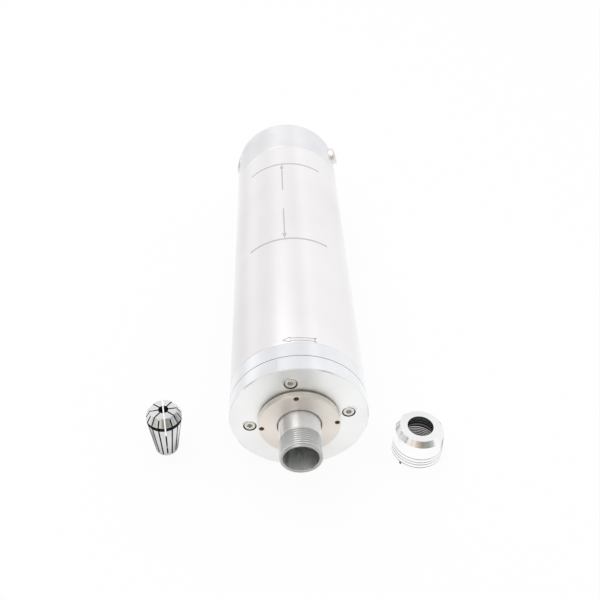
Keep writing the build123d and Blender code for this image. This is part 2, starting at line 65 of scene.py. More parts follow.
# ---- Front cap and its screws
CAP_SPIGOT_R = 23.45
CAP_RELIEF_R = 20.5
HUB_BORE_R = 17.0
FRONT_BEARING_START = 13.5
FRONT_BEARING_END = 40.5
SLEEVE_START = 44.5
CAP_SCREW_CIRCLE = 28.75
CAP_SCREW_ANGLES = (11.3, 101.3, 191.3, 281.3)
SCREW_SINK = 0.2
CAP_SCREW = (3.5, 4.0, 2.0, 16.0, 3.0, 2.2)   # head and shank radius and length, socket
COUNTERBORE_R = 3.9
COUNTERBORE_L = 4.2
SCREW_HOLE_R = 2.2

# ---- Labyrinth nut
DISC_R = 23.5
DISC_PROUD = 5.0
DISC_HUB_R = 16.5
DISC_MOUTH_R = 13.0
DISC_MOUTH_L = 3.0
DISC_FOOT_R = 14.825
LABYRINTH_GAP = 1.1
SPANNER_HOLE_R = 1.5
SPANNER_HOLE_L = 3.0
SPANNER_CIRCLE = 21.6
SPANNER_ANGLES = (6.6, 96.6, 186.6, 276.6)

# ---- Shaft
NOSE_TIP = -29.6
NOSE_R = 12.0
NOSE_THREAD_END = -16.1
NOSE_PITCH = 1.5
THREAD_MINOR_R = 11.188
NOSE_RIDGE = (0.2, 0.42, 1.1, 1.32)   # foot, crest, crest end and foot end along the pitch
NUT_RIDGE = (0.2, 0.43, 1.1, 1.33)
NOSE_TURNS = 8.1
NECK_END = -2.0
TAPER_MOUTH_R = 10.0
TAPER_RELIEF_R = 6.7
TAPER_HALF_ANGLE = 8.0
RELIEF_L = 19.0
TIP_BREAK = 0.45
FRONT_JOURNAL_R = 12.5
SHOULDER_R = 16.0
SHOULDER_L = 9.0
ROTOR_SEAT_R = 11.0
ROTOR_SEAT_END = 192.0
SHAFT_WAIST_R = 10.0
SHAFT_WAIST_END = 238.2
REAR_JOURNAL_R = 8.5
SHAFT_END = 268.2
CENTRE_HOLE_R = 2.5
CENTRE_HOLE_L = 6.0

# ---- Rear end
SLEEVE_END = 232.8
REAR_BEARING_END = 258.2
REAR_LIP_R = 14.5
REAR_BORE_R = 17.5
CHAMBER_R = 21.0
COVER_START = 284.4
COVER_R = 30.0
COVER_SCREW_CIRCLE = 26.0
COVER_BORE_R = 8.0
COVER_SCREW_ANGLES = (45.0, 135.0, 225.0, 315.0)
COVER_SCREW_HOLE_R = 1.7
COVER_SCREW = (2.75, 3.0, 1.5, 10.0, 2.5, 1.6)
COVER_SINK_R = 3.1
COVER_SINK_L = 3.2
PORT_STATION = 282.0
PORT_ANGLES = {"right": 22.0, "left": 172.0}
PORT_COLLAR_R = 6.5
PORT_PROUD = {"right": 3.1, "left": 0.8}
PORT_BORE_R = 4.285
PORT_PLUG_R = 5.5
PORT_SEAT_R = 39.2
PORT_PLUG_L = 4.0
CONNECTOR_R = 7.95
CONNECTOR_BORE_R = 6.5
CONNECTOR_FLANGE_R = 10.5
CONNECTOR_FLANGE_L = 2.0
CONNECTOR_L = 12.0
CONNECTOR_START = 281.2
INSERT_START = 282.4
INSERT_L = 10.0
PIN_R = 1.0
PIN_CIRCLE = 3.5
PIN_ANGLES = (45.0, 135.0, 225.0, 315.0)
PIN_START = 278.4
PIN_L = 18.0

# ---- Collet, standing on its narrow end
COLLET_X = -79.1
COLLET_STATION = 14.3
COLLET_L = 33.5
COLLET_R = 10.5
COLLET_BORE_R = 3.0
COLLET_CONE_L = 4.8
COLLET_FACE_R = 7.73
COLLET_RIM_L = 0.2
COLLET_GROOVE_L = 3.0
COLLET_GROOVE_R = 8.7
COLLET_TAPER_R = 10.3
COLLET_FOOT_R = 6.66
COLLET_SLOT_W = 0.85
COLLET_FRONT_STOP = 2.4     # where the slots from the front end above the foot
COLLET_REAR_STOP = 0.9      # and those from the back below the face
COLLET_SLOT_ANGLE = -80.2

# ---- Clamping nut, standing on its threaded end
NUT_X = 73.9
NUT_STATION = 9.5
NUT_L = 23.0
NUT_BASE_R = 15.5
NUT_NECK_R = 14.65
NUT_TOP_R = 12.25
NUT_NECK_Z = 19.5
NUT_BORE_R = 7.8
NUT_SEAT_TOP = 21.0
NUT_SEAT_R = 10.65
NUT_SEAT_HALF_ANGLE = 30.0
NUT_GROOVE_L = 1.3
NUT_LIP_R = 9.7
NUT_LIP_L = 1.4
NUT_RELIEF_R = 12.2
NUT_RELIEF_L = 1.8
NUT_MOUTH_R = 12.6
NUT_TURNS = 6.4
NUT_RINGS = (3.1, 5.4, 7.4, 9.9)
NUT_RING_W = 0.9
NUT_RING_DEPTH = 0.45
BALANCE_HOLE_ANGLE = -138.0
BALANCE_HOLE_Z = 1.8
BALANCE_HOLE_R = 0.8

# ---- Markings
MARK_PROUD = 0.02
MARK_SINK = 0.05
ZONE_LINE_ANGLES = (56, 136)
ZONE_LINE_W = 1.7
ARROW_X = -6.14              # round the tube from its top line
ARROW_HEAD_L = 6.0
ARROW_HEAD_W = 3.2
ARROW_LINE_W = 0.9
ARROW_GAP = (162.0, 187.0)   # bare stretch in the middle of the double arrow
DIRECTION_ARROW = ((-10.1, 24.05), (-5.4, 21.7), (-5.4, 22.8), (7.6, 22.8), (9.9, 21.9),
                   (8.6, 24.05), (9.9, 26.2), (7.6, 25.3), (-5.4, 25.3), (-5.4, 26.4))
DIRECTION_LINE_W = 0.4
SCRIBE_ANGLE = 110.0

TURN = 2 * pi
SPIN_STEPS = 192
TO_FRAME = Matrix.Scale(0.001, 4) @ Matrix.Translation((0, -ZONE_MID, 0))


# ======== shapes
def around(angle, radius, station):
    """Point at an angle and radius round the spindle axis."""
    return Vector((radius * cos(radians(angle)), station, radius * sin(radians(angle))))


def spun(corners, upright=False, steps=SPIN_STEPS):
    """Closed outline of (radius, station) corners, spun a full turn about the spindle axis.

    Upright, it is spun about Z, and the corners are (radius, height).
    """
    shape = bmesh.new()
    axis = (0, 0, 1) if upright else (0, 1, 0)
    ring = [shape.verts.new((r, 0, a) if upright else (r, a, 0)) for r, a in corners]
    sides = [shape.edges.new((ring[i - 1], ring[i])) for i in range(len(ring))]
    bmesh.ops.spin(shape, geom=ring + sides, cent=(0, 0, 0), axis=axis, dvec=(0, 0, 0),
                   angle=TURN, steps=steps, use_merge=True)
    bmesh.ops.remove_doubles(shape, verts=shape.verts, dist=1e-4)
    bmesh.ops.recalc_face_normals(shape, faces=shape.faces)
    return shape


def coil(section, pitch, turns, upright=False, steps=96):
    """Thread ridge: a closed (radius, station) section wound round the axis."""
    shape = bmesh.new()
    axis = Vector((0, 0, 1) if upright else (0, 1, 0))
    shape.faces.new([shape.verts.new((r, 0, a) if upright else (r, a, 0)) for r, a in section])
    bmesh.ops.spin(shape, geom=shape.verts[:] + shape.edges[:] + shape.faces[:], cent=(0, 0, 0),
                   axis=axis, dvec=axis * pitch / steps, angle=TURN * turns,
                   steps=int(steps * turns))
    bmesh.ops.recalc_face_normals(shape, faces=shape.faces)
    return shape


def arc(section, first, last, steps):
    """A closed (radius, station) section swept round the axis between two angles."""
    shape = bmesh.new()
    shape.faces.new([shape.verts.new((r, a, 0)) for r, a in section])
    move(shape, Matrix.Rotation(-radians(first), 4, "Y"))
    bmesh.ops.spin(shape, geom=shape.verts[:] + shape.edges[:] + shape.faces[:], cent=(0, 0, 0),
                   axis=(0, -1, 0), dvec=(0, 0, 0), angle=radians(last - first), steps=steps)
    bmesh.ops.recalc_face_normals(shape, faces=shape.faces)
    return shape


def rod(radius, length, sides=64, end_radius=None):
    """Round bar along +Y from the origin."""
    shape = bmesh.new()
    end = radius if end_radius is None else end_radius
    bmesh.ops.create_cone(shape, cap_ends=True, segments=sides, radius1=radius, radius2=end,
                          depth=length)
    return move(shape, Matrix.Rotation(-pi / 2, 4, "X") @ Matrix.Translation((0, 0, length / 2)))


def box(size, middle):
    """Block of three side lengths about a middle point."""
    shape = bmesh.new()
    bmesh.ops.create_cube(shape, size=1.0)
    bmesh.ops.scale(shape, verts=shape.verts, vec=size)
    bmesh.ops.translate(shape, verts=shape.verts, vec=middle)
    return shape


def move(shape, matrix):
    bmesh.ops.transform(shape, matrix=matrix, verts=shape.verts)
    return shape


def rods_on_circle(radius, length, angles, circle, start, sides=64):
    """Round bars along +Y, on a circle round the spindle axis, to cut holes with."""
    return [move(rod(radius, length, sides), Matrix.Translation(around(angle, circle, start)))
            for angle in angles]


def along_spoke(station, angle, inner_r):
    """Turns a bar's +Y outwards from the spindle axis, starting at a radius."""
    turn = Matrix.Rotation(-radians(angle), 4, "Y") @ Matrix.Rotation(-pi / 2, 4, "Z")
    return Matrix.Translation(around(angle, inner_r, station)) @ turn


def together(*shapes):
    """Several separate shapes in one mesh."""
    whole = bmesh.new()
    for shape in shapes:
        carrier = bpy.data.meshes.new("carrier")
        shape.to_mesh(carrier)
        shape.free()
        whole.from_mesh(carrier)
        bpy.data.meshes.remove(carrier)
    return whole


def mesh_object(name, shape):
    mesh = bpy.data.meshes.new(name)
    shape.to_mesh(mesh)
    shape.free()
    made = bpy.data.objects.new(name, mesh)
    bpy.context.scene.collection.objects.link(made)
    return made


def settled(made):
    """Applies the modifiers of a piece, so that its mesh holds its finished shape."""
    bpy.context.view_layer.update()
    shown = made.evaluated_get(bpy.context.evaluated_depsgraph_get())
    finished = bpy.data.meshes.new_from_object(shown)
    made.modifiers.clear()
    spare, made.data = made.data, finished
    bpy.data.meshes.remove(spare)
    finished.name = made.name
    return made


def carved(name, shape, *cutters):
    """A piece with holes and slots cut by other shapes, one after another."""
    made = mesh_object(name, shape)
    tools = [mesh_object("cutter", cutter) for cutter in cutters]
    for tool in tools:
        cut = made.modifiers.new("cut", "BOOLEAN")
        cut.operation = "DIFFERENCE"
        cut.solver = "EXACT"
        cut.object = tool
    settled(made)
    for tool in tools:
        bpy.data.objects.remove(tool)
    return made


def finished(made, body, slot, materials, edge=0.12, nodes=(), place=None):
    """Puts a piece in the frame, rounds its edges, gives it materials and ties it to its body."""
    made.data.transform(TO_FRAME @ (place or Matrix()))
    if edge:
        rounding = made.modifiers.new("rounding", "BEVEL")
        rounding.width = edge * 0.001
        rounding.segments = 2
        rounding.limit_method = "ANGLE"
        rounding.angle_limit = radians(28)
        made.data.polygons.foreach_set("use_smooth", [True] * len(made.data.polygons))
        made.modifiers.new("shading", "WEIGHTED_NORMAL").keep_sharp = True
        settled(made)
    for material in materials:
        made.data.materials.append(material)
    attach(made, body)
    if nodes:
        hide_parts(*nodes)
    return made


def refaced(made, index, belongs):
    """Gives another material to the faces that pass a test on their middle and normal.

    The middle is in millimetres, and its y is the station.
    """
    for face in made.data.polygons:
        if belongs(face.center * 1000 + Vector((0, ZONE_MID, 0)), face.normal):
            face.material_index = index


# ======== materials
def linear(colour):
    """sRGB hex colour as linear RGBA."""
    parts = [int(colour[i:i + 2], 16) / 255 for i in (0, 2, 4)]
    return [c / 12.92 if c <= 0.04045 else ((c + 0.055) / 1.055) ** 2.4 for c in parts] + [1.0]


def add(tree, kind, inputs=None, **settings):
    """Adds a shader node with its settings.

    An input takes a value, another node's output, or a node, which stands for its first output.
    """
    made = tree.nodes.new("ShaderNode" + kind)
    for key, value in settings.items():
        setattr(made, key, value)
    for key, value in (inputs or {}).items():
        if isinstance(value, bpy.types.Node):
            value = value.outputs[0]
        if isinstance(value, bpy.types.NodeSocket):
            tree.links.new(value, made.inputs[key])
        else:
            made.inputs[key].default_value = value
    return made


def new_material(name):
    material = bpy.data.materials.new(name)
    material.use_nodes = True
    material.node_tree.nodes.clear()
    return material, material.node_tree


def surfaced(tree, colours, tint, texture, roughness, relief, more):
    """Gives a material its surface: a tint between two colours, and a texture's gloss and relief.

    Roughness is (middle, swing), relief is (strength, depth in millimetres).
    """
    colour = add(tree, "Mix", {
        "Factor": tint, 6: linear(colours[0]), 7: linear(colours[1])}, data_type="RGBA")
    gloss = add(tree, "MapRange", {
        "Value": texture, "From Min": 0.3, "From Max": 0.7,
        "To Min": roughness[0] - roughness[1], "To Max": roughness[0] + roughness[1]})
    bump = add(tree, "Bump", {
        "Height": texture, "Strength": relief[0], "Distance": relief[1] * 0.001})
    surface = add(tree, "BsdfPrincipled", {
        "Base Color": colour.outputs["Result"], "Roughness": gloss, "Normal": bump, **more})
    add(tree, "OutputMaterial", {0: surface})


def lathe_metal(name, dark, light, rough, marks_mm, depth_mm, anisotropy=0.6, axis="Y",
                centre=(0, 0, 0), metallic=1.0, sheen_mm=30.0, rough_swing=0.05):
    """Metal turned or ground on centres: fine marks run round the axis.

    The marks follow one coordinate, the distance along the axis plus the distance from it, so
    they are rings on a cylinder, a cone and a face alike.  marks_mm is their spacing: real
    marks, 0.05 to 0.2 mm apart, are too fine to show, so they are drawn coarser.
    """
    material, tree = new_material(name)
    coordinates = add(tree, "TexCoord")
    at = add(tree, "Mapping", {
        "Vector": coordinates.outputs["Object"], "Location": [-c for c in centre]})
    parts = add(tree, "SeparateXYZ", {0: at})
    across = ("X", "Z") if axis == "Y" else ("X", "Y")
    flat = add(tree, "CombineXYZ", {0: parts.outputs[across[0]], 1: parts.outputs[across[1]]})
    radius = add(tree, "VectorMath", {0: flat}, operation="LENGTH")
    run = add(tree, "Math", {
        0: radius.outputs["Value"], 1: parts.outputs[axis]}, operation="ADD")
    marks = add(tree, "TexNoise", {
        "W": run, "Scale": 1000.0 / marks_mm, "Detail": 3.0, "Roughness": 0.6},
        noise_dimensions="1D")
    cloud = add(tree, "TexNoise", {
        "Vector": coordinates.outputs["Object"], "Scale": 1000.0 / sheen_mm, "Detail": 2.0})
    blend = add(tree, "Math", {0: marks, 1: cloud, 2: cloud}, operation="MULTIPLY_ADD")
    tint = add(tree, "MapRange", {"Value": blend, "From Min": 0.45, "From Max": 1.05})
    tangent = add(tree, "Tangent", direction_type="RADIAL", axis=axis)
    surfaced(tree, (dark, light), tint, marks, (rough, rough_swing), (0.35, depth_mm), {
        "Metallic": metallic, "Anisotropic": anisotropy, "Anisotropic Rotation": 0.25,
        "Tangent": tangent})
    return material


def grained(name, dark, light, rough, grain_mm, depth_mm, metallic=0.0, rough_swing=0.08,
            stretch=(1, 1, 1)):
    """Cast, moulded, blasted or painted surface: soft grains of two close colours."""
    material, tree = new_material(name)
    coordinates = add(tree, "TexCoord")
    at = add(tree, "Mapping", {"Vector": coordinates.outputs["Object"], "Scale": stretch})
    grain = add(tree, "TexNoise", {"Vector": at, "Scale": 1000.0 / grain_mm, "Detail": 4.0})
    surfaced(tree, (dark, light), grain, grain, (rough, rough_swing), (0.4, depth_mm),
             {"Metallic": metallic})
    return material


collet_centre = (COLLET_X * 0.001, (COLLET_STATION - ZONE_MID) * 0.001, 0)
nut_centre = (NUT_X * 0.001, (NUT_STATION - ZONE_MID) * 0.001, 0)

# Stainless steel tube, ground on centres: a satin, faintly warm grey with hairlines round it.
ground_tube_steel = lathe_metal("ground_stainless_tube", "F5F3F4", "FCFAFB", 0.30, 0.9, 0.0004,
                                sheen_mm=60.0, rough_swing=0.02)
# Stainless steel end rings, fine turned and lapped: brighter and bluer than the tube.
turned_ring_steel = lathe_metal("fine_turned_stainless_rings", "EDEEF1", "F7F8FB", 0.20, 0.5,
                                0.0006, rough_swing=0.02)
# Rear housing of the same steel, turned and left as it came off the lathe: duller and softer.
rear_turned_steel = lathe_metal("turned_rear_stainless", "EFEFF3", "F8F8FB", 0.34, 0.5, 0.0006,
                                anisotropy=0.7, rough_swing=0.02)
# The same steel faced off on the lathe: fans of light from its rings, a greenish grey.
faced_cap_steel = lathe_metal("faced_stainless_cap", "F0F1F0", "FAFBFA", 0.36, 0.35, 0.003,
                              anisotropy=0.8)
# Hardened steel disc, surface ground after blueing was cleaned off: warm beige grey.
ground_disc_steel = lathe_metal("ground_hardened_disc", "E0DAD2", "F0EAE2", 0.42, 0.3, 0.004,
                                anisotropy=0.85, metallic=0.95)
# Shaft of hardened tool steel, cylindrically ground and superfinished: near a mirror.
superfinished_shaft_steel = lathe_metal("superfinished_shaft_steel", "E2E2E2", "F8F8F8", 0.24,
                                        0.4, 0.001, anisotropy=0.9, rough_swing=0.03)
# Neck of the shaft behind the thread: rougher than the rest, so it gathers light from above, and drawn
# brighter than the rest, a painted light.
neck_painted_light = lathe_metal("shaft_neck_painted_light", "F6F6F8", "FFFFFF", 0.42, 0.4, 0.001,
                                anisotropy=0.95, rough_swing=0.02)
# Bore of the nose taper, internally ground: light and dark streaks along it are painted reflections of
# long bright lights, on a near white that lightens the dark bore, also painted light.
taper_painted_streaks = grained("taper_bore_painted_streaks", "E6EAE8", "FFFFFF", 0.3, 3.2, 0.0,
                             metallic=1.0, stretch=(1, 0.03, 1))
# Rim of the nose, faced off and tarnished by handling: a warm grey.
faced_rim_steel = lathe_metal("tarnished_nose_rim", "B2ACA6", "CCC7C1", 0.35, 0.3, 0.002)
# Flanks and bottom of the nose thread: painted shade, a grey darker and duller than the crests.
thread_root_painted_shade = lathe_metal("nose_thread_root_painted_shade", "C4C6C6", "DADCDC", 0.4, 0.3, 0.002,
                                anisotropy=0.8)
# Spring steel collet, hardened and ground: bright, with the grinding marks round it.
ground_collet_steel = lathe_metal("ground_spring_steel_collet", "CFCFD0", "F0F0F2", 0.16, 0.35,
                                  0.002, axis="Z", centre=collet_centre, anisotropy=0.5,
                                  rough_swing=0.03)
# Slot walls, slot ends, groove and bore of the collet, and the walls of the front cap's holes and its
# bore: painted shade, near black.  It also fills the dark seam line between the cap and the band.
dark_seam_and_painted_shade = grained("dark_seams_and_painted_shade_steel", "2A2D2D", "484C4B", 0.5, 0.3, 0.01,
                               metallic=0.3)
# Gripping rings of the nut, rolled in: their bottoms are drawn light grey, a painted shade.
ring_groove_painted_shade = lathe_metal("ring_grooves_painted_shade", "CACCCA", "DCDDDB", 0.4, 0.3, 0.002,
                                axis="Z", centre=nut_centre, anisotropy=0.5)
# Clamping nut of alloy steel, turned, polished and left bright.
polished_nut_steel = lathe_metal("polished_nut_steel", "F4F4F6", "FDFDFE", 0.15, 0.45, 0.001,
                                 axis="Z", centre=nut_centre, anisotropy=0.5, rough_swing=0.03)
# Crests of the nut's thread, bored to size before the thread was cut: bright.
cut_thread_steel = lathe_metal("cut_thread_steel", "F2F1EE", "FFFFFF", 0.25, 0.25, 0.004,
                               axis="Z", centre=nut_centre, anisotropy=0.4)
# Thread flanks, pull-out lip and groove inside the nut: painted shade, darker.
nut_inside_painted_shade = lathe_metal("nut_flanks_painted_shade", "66696A", "808484", 0.35, 0.3, 0.002,
                                   axis="Z", centre=nut_centre, anisotropy=0.5)
# Seat cone and bore of the nut, ground, and its balance hole: blue-black, a painted reflection of the
# dark inside that the cone sees, and painted shade in the hole.
nut_seat_painted_shade = grained("nut_seat_and_bore_painted_shade", "3A4244", "59625F", 0.35, 0.3, 0.004, metallic=0.8)
# Drilled spanner holes and the floor of the disc's mouth: painted shade, a brown grey.
disc_hole_painted_shade = grained("spanner_holes_painted_shade", "8A7464", "C4AE9C", 0.45, 0.4, 0.004,
                             metallic=0.6)
# Stainless socket screws, cold headed and tumbled: pale, softly uneven.
tumbled_screw_steel = grained("tumbled_stainless_screws", "D4D1CA", "EFEDE8", 0.3, 0.8, 0.01,
                              metallic=0.7)
# Laser marking on steel: a shallow oxide, a little darker and duller than the ground metal.
laser_marking = grained("laser_marked_oxide", "C2C3C0", "D2D2CE", 0.6, 0.2, 0.002, metallic=0.2)
# The same marking in a fine line, burnt in deeper: darker.
fine_laser_marking = grained("fine_laser_marked_oxide", "8C8E8E", "A2A4A2", 0.6, 0.2, 0.002,
                             metallic=0.2)
# Painted shadow: thin near-black arcs at the edges of the counterbores.
painted_shadow_arc_colour = grained("counterbore_painted_shadow", "1E1F20", "3A3A3A", 0.6, 0.2, 0.002, metallic=0.2)
# Anodised aluminium, bead blasted: matt silver grey with a fine grain.
anodised_aluminium = grained("anodised_blasted_aluminium", "B7BABD", "C9CCCE", 0.45, 0.15, 0.006,
                             metallic=0.9)
# Water jacket of bare turned aluminium, dulled by the coolant.
jacket_aluminium = lathe_metal("turned_jacket_aluminium", "B4B7B9", "CDD0D2", 0.4, 0.6, 0.008,
                               anisotropy=0.4)
# Nitrile rubber rings, moulded: matt black with a faint bloom.
moulded_nitrile = grained("moulded_nitrile_rubber", "121212", "232323", 0.7, 0.4, 0.01)
# Electrical steel laminations, stamped and varnished: dark blue grey, edges every half millimetre.
stamped_laminations = grained("stacked_electrical_steel", "3E434A", "5E646B", 0.5, 0.5, 0.02,
                              metallic=0.7, stretch=(0.05, 1, 0.05))
# Enamelled copper wire under baking varnish: brown-red strands.
varnished_copper = grained("varnished_copper_winding", "6B2E12", "A8562A", 0.35, 0.9, 0.05,
                           metallic=0.6, stretch=(1, 0.15, 1))
# Die-cast aluminium squirrel cage: light grey, slightly pitted.
cast_aluminium = grained("die_cast_aluminium_cage", "A3A6A8", "BCBFC1", 0.5, 0.7, 0.03,
                         metallic=0.9)
# Through-hardened bearing steel, ground and honed.
honed_bearing_steel = lathe_metal("honed_bearing_steel", "C6C8CA", "DFE1E2", 0.15, 0.4, 0.001)
# Cages of cotton-reinforced phenolic with the balls in them: golden brown.
phenolic_cage = grained("phenolic_ball_cage", "8A5A22", "B5803A", 0.45, 0.3, 0.01)
# Disc spring of blued spring steel.
blued_spring_steel = grained("blued_disc_spring", "2A3550", "46557A", 0.35, 0.6, 0.005,
                             metallic=0.9)
# Connector shell and coolant bushes of brass plated with nickel: bright and slightly warm.
nickel_plate = lathe_metal("nickel_plated_brass", "E4E1DB", "F6F3EE", 0.4, 0.4, 0.002)
# Connector insert of glass-filled PBT, moulded: matt black.
moulded_pbt = grained("moulded_pbt_insert", "17181A", "26282A", 0.55, 0.25, 0.008)
# Contact pins of gold-plated brass.
gold_plate = grained("gold_plated_contacts", "D9A93C", "F2CE6E", 0.2, 0.5, 0.001, metallic=1.0)


# ======== housing
seam_start = CAP_L - SEAM_LINE_W / 2
seam_end = CAP_L + SEAM_LINE_W / 2
seam_r = BODY_R - SEAM_LINE_DEPTH
spigot_r = TUBE_BORE_R - FIT_GAP
front_cap = carved("front_cap_shell", spun((
    (HUB_BORE_R, 0), (BODY_R - EDGE_BREAK, 0), (BODY_R, EDGE_BREAK), (BODY_R, seam_start),
    (seam_r, seam_start), (seam_r, CAP_L), (CAP_SPIGOT_R, CAP_L),
    (CAP_SPIGOT_R, FRONT_BEARING_START), (CAP_RELIEF_R, FRONT_BEARING_START),
    (CAP_RELIEF_R, CAP_L), (HUB_BORE_R, CAP_L))),
    *rods_on_circle(SCREW_HOLE_R, CAP_L + 2, CAP_SCREW_ANGLES, CAP_SCREW_CIRCLE, -1),
    *rods_on_circle(COUNTERBORE_R, COUNTERBORE_L + 1, CAP_SCREW_ANGLES, CAP_SCREW_CIRCLE, -1))
finished(front_cap, "housing", "turned_steel",
         [turned_ring_steel, faced_cap_steel, dark_seam_and_painted_shade],
         edge=0.1, nodes=["front_cap"])
# The faced front; the walls of the holes and the bore, in painted shade; and half of the dark seam
# line.
refaced(front_cap, 1, lambda middle, normal: normal.y < -0.9 and middle.y < 0.2)
refaced(front_cap, 2, lambda middle, normal: 0.25 < middle.y < 8 and middle.xz.length < 34)
refaced(front_cap, 2, lambda middle, normal:
        middle.xz.length > BODY_R - 1 and middle.y > seam_start - 0.02)

front_band = mesh_object("front_bearing_band", spun((
    (BAND_BORE_R, CAP_L), (seam_r, CAP_L), (seam_r, seam_end), (BODY_R, seam_end),
    (BODY_R, TUBE_START - SEAM_BREAK), (BODY_R - SEAM_BREAK, TUBE_START),
    (spigot_r, TUBE_START), (spigot_r, RING_GROOVE[0]), (RING_GROOVE_R, RING_GROOVE[0]),
    (RING_GROOVE_R, RING_GROOVE[1]), (spigot_r, RING_GROOVE[1]), (spigot_r, SLEEVE_START),
    (BAND_LIP_R, SLEEVE_START), (BAND_LIP_R, FRONT_BEARING_END),
    (BAND_BORE_R, FRONT_BEARING_END))))
finished(front_band, "housing", "turned_steel", [turned_ring_steel, dark_seam_and_painted_shade],
         edge=0.04, nodes=["front_bearing_housing"])
refaced(front_band, 1, lambda middle, normal:
        middle.xz.length > BODY_R - 1 and middle.y < seam_end + 0.02)

tube = mesh_object("ground_housing_tube", spun((
    (TUBE_BORE_R, TUBE_START), (BODY_R - SEAM_BREAK, TUBE_START),
    (BODY_R, TUBE_START + SEAM_BREAK), (BODY_R, TUBE_END - SEAM_BREAK),
    (BODY_R - SEAM_BREAK, TUBE_END), (TUBE_BORE_R, TUBE_END))))
finished(tube, "housing", "ground_tube", [ground_tube_steel], edge=0.06, nodes=["housing_tube"])


# ======== screws
def socket_screw(head_r, head_l, shank_r, shank_l, socket, socket_l):
    """Socket head screw along +Y with the top of its head at the origin."""
    outline = ((0, 0), (head_r - 0.45, 0), (head_r, 0.4), (head_r, head_l), (shank_r, head_l),
               (shank_r, head_l + shank_l - 0.4), (shank_r - 0.4, head_l + shank_l),
               (0, head_l + shank_l))
    above = Matrix.Translation((0, -1, 0))
    hexagon = move(rod(socket / 3 ** 0.5, socket_l + 1, sides=6), above)
    lead_in = move(rod(socket * 0.62 + 1, 1.1, sides=48, end_radius=socket * 0.52), above)
    return carved("screw", spun(outline, steps=64), hexagon, lead_in)


def screw_set(name, pattern, places, node):
    """Copies of one screw in one piece, each turned a little differently in its hole."""
    whole = bmesh.new()
    for index, place in enumerate(places):
        first = len(whole.verts)
        whole.from_mesh(pattern.data)
        whole.verts.ensure_lookup_table()
        spin = Matrix.Rotation(radians(17 + 23 * index), 4, "Y")
        bmesh.ops.transform(whole, matrix=place @ spin, verts=whole.verts[first:])
    bpy.data.objects.remove(pattern)
    made = mesh_object(name, whole)
    return finished(made, "housing", "screw_steel", [tumbled_screw_steel, dark_seam_and_painted_shade],
                    edge=0.1, nodes=[node])


screw_set("cap_socket_screws", socket_screw(*CAP_SCREW),
          [Matrix.Translation(around(angle, CAP_SCREW_CIRCLE, SCREW_SINK))
           for angle in CAP_SCREW_ANGLES], "cap_screws")
flip = Matrix.Rotation(pi, 4, "X")
screw_set("cover_socket_screws", socket_screw(*COVER_SCREW),
          [Matrix.Translation(around(angle, COVER_SCREW_CIRCLE, REAR_FACE - SCREW_SINK)) @ flip
           for angle in COVER_SCREW_ANGLES], "cover_screws")


# ======== labyrinth nut and shaft
disc = carved("labyrinth_disc_nut", spun((
    (DISC_MOUTH_R, -DISC_PROUD), (DISC_R - 0.3, -DISC_PROUD), (DISC_R, -DISC_PROUD + 0.3),
    (DISC_R, -LABYRINTH_GAP), (DISC_HUB_R, -LABYRINTH_GAP),
    (DISC_HUB_R, FRONT_BEARING_START - 2), (DISC_FOOT_R, FRONT_BEARING_START - 2),
    (DISC_FOOT_R, FRONT_BEARING_START), (FRONT_JOURNAL_R + FIT_GAP, FRONT_BEARING_START),
    (FRONT_JOURNAL_R + FIT_GAP, DISC_MOUTH_L - DISC_PROUD),
    (DISC_MOUTH_R, DISC_MOUTH_L - DISC_PROUD))),
    *rods_on_circle(SPANNER_HOLE_R, SPANNER_HOLE_L + 1, SPANNER_ANGLES, SPANNER_CIRCLE,
                    -DISC_PROUD - 1))
finished(disc, "rotor", "disc_steel", [ground_disc_steel, disc_hole_painted_shade], edge=0.1,
         nodes=["labyrinth_nut"])
# The spanner holes and the floor of the mouth, in painted shade.
refaced(disc, 1, lambda middle, normal:
        abs(normal.y) < 0.9 and middle.y < -0.2 and 19.9 < middle.xz.length < 23.2
        or middle.y > -4.2 and normal.y < -0.5)

taper_start = NOSE_TIP + TIP_BREAK
taper_end = taper_start + (TAPER_MOUTH_R - TAPER_RELIEF_R) / tan(radians(TAPER_HALF_ANGLE))
relief_end = taper_end + RELIEF_L
thread_floor = THREAD_MINOR_R + 0.05
shoulder_end = FRONT_BEARING_END + SHOULDER_L
shaft = mesh_object("spindle_shaft_body", spun((
    (TAPER_MOUTH_R + TIP_BREAK, NOSE_TIP), (THREAD_MINOR_R - 0.1, NOSE_TIP),
    (thread_floor, NOSE_TIP + 0.4), (thread_floor, NOSE_THREAD_END - 0.5),
    (NOSE_R, NOSE_THREAD_END), (NOSE_R, NECK_END), (FRONT_JOURNAL_R, NECK_END),
    (FRONT_JOURNAL_R, FRONT_BEARING_END), (SHOULDER_R, FRONT_BEARING_END),
    (SHOULDER_R, shoulder_end), (ROTOR_SEAT_R, shoulder_end), (ROTOR_SEAT_R, ROTOR_SEAT_END),
    (SHAFT_WAIST_R, ROTOR_SEAT_END), (SHAFT_WAIST_R, SHAFT_WAIST_END),
    (REAR_JOURNAL_R, SHAFT_WAIST_END), (REAR_JOURNAL_R, SHAFT_END), (CENTRE_HOLE_R, SHAFT_END),
    (0, SHAFT_END - CENTRE_HOLE_L), (0, relief_end + 3.5), (TAPER_RELIEF_R, relief_end),
    (TAPER_RELIEF_R, taper_end), (TAPER_MOUTH_R, taper_start))))
finished(shaft, "rotor", "shaft_steel",
         [superfinished_shaft_steel, taper_painted_streaks, faced_rim_steel, thread_root_painted_shade,
          neck_painted_light], edge=0.1, nodes=["spindle_shaft"])
# Bare neck in painted light, taper bore with painted streaks, rim of the nose, and bottom of the
# thread in painted shade.
refaced(shaft, 4, lambda middle, normal:
        NOSE_THREAD_END - 0.4 < middle.y < NECK_END - 0.2 and middle.xz.length > 10.5)
refaced(shaft, 1, lambda middle, normal: middle.y < relief_end + 4 and middle.xz.length < 10.2)
refaced(shaft, 2, lambda middle, normal: middle.y < taper_start and middle.xz.length > 10.1)
refaced(shaft, 3, lambda middle, normal:
        taper_start < middle.y < NOSE_THREAD_END - 0.4 and middle.xz.length > 10.5)

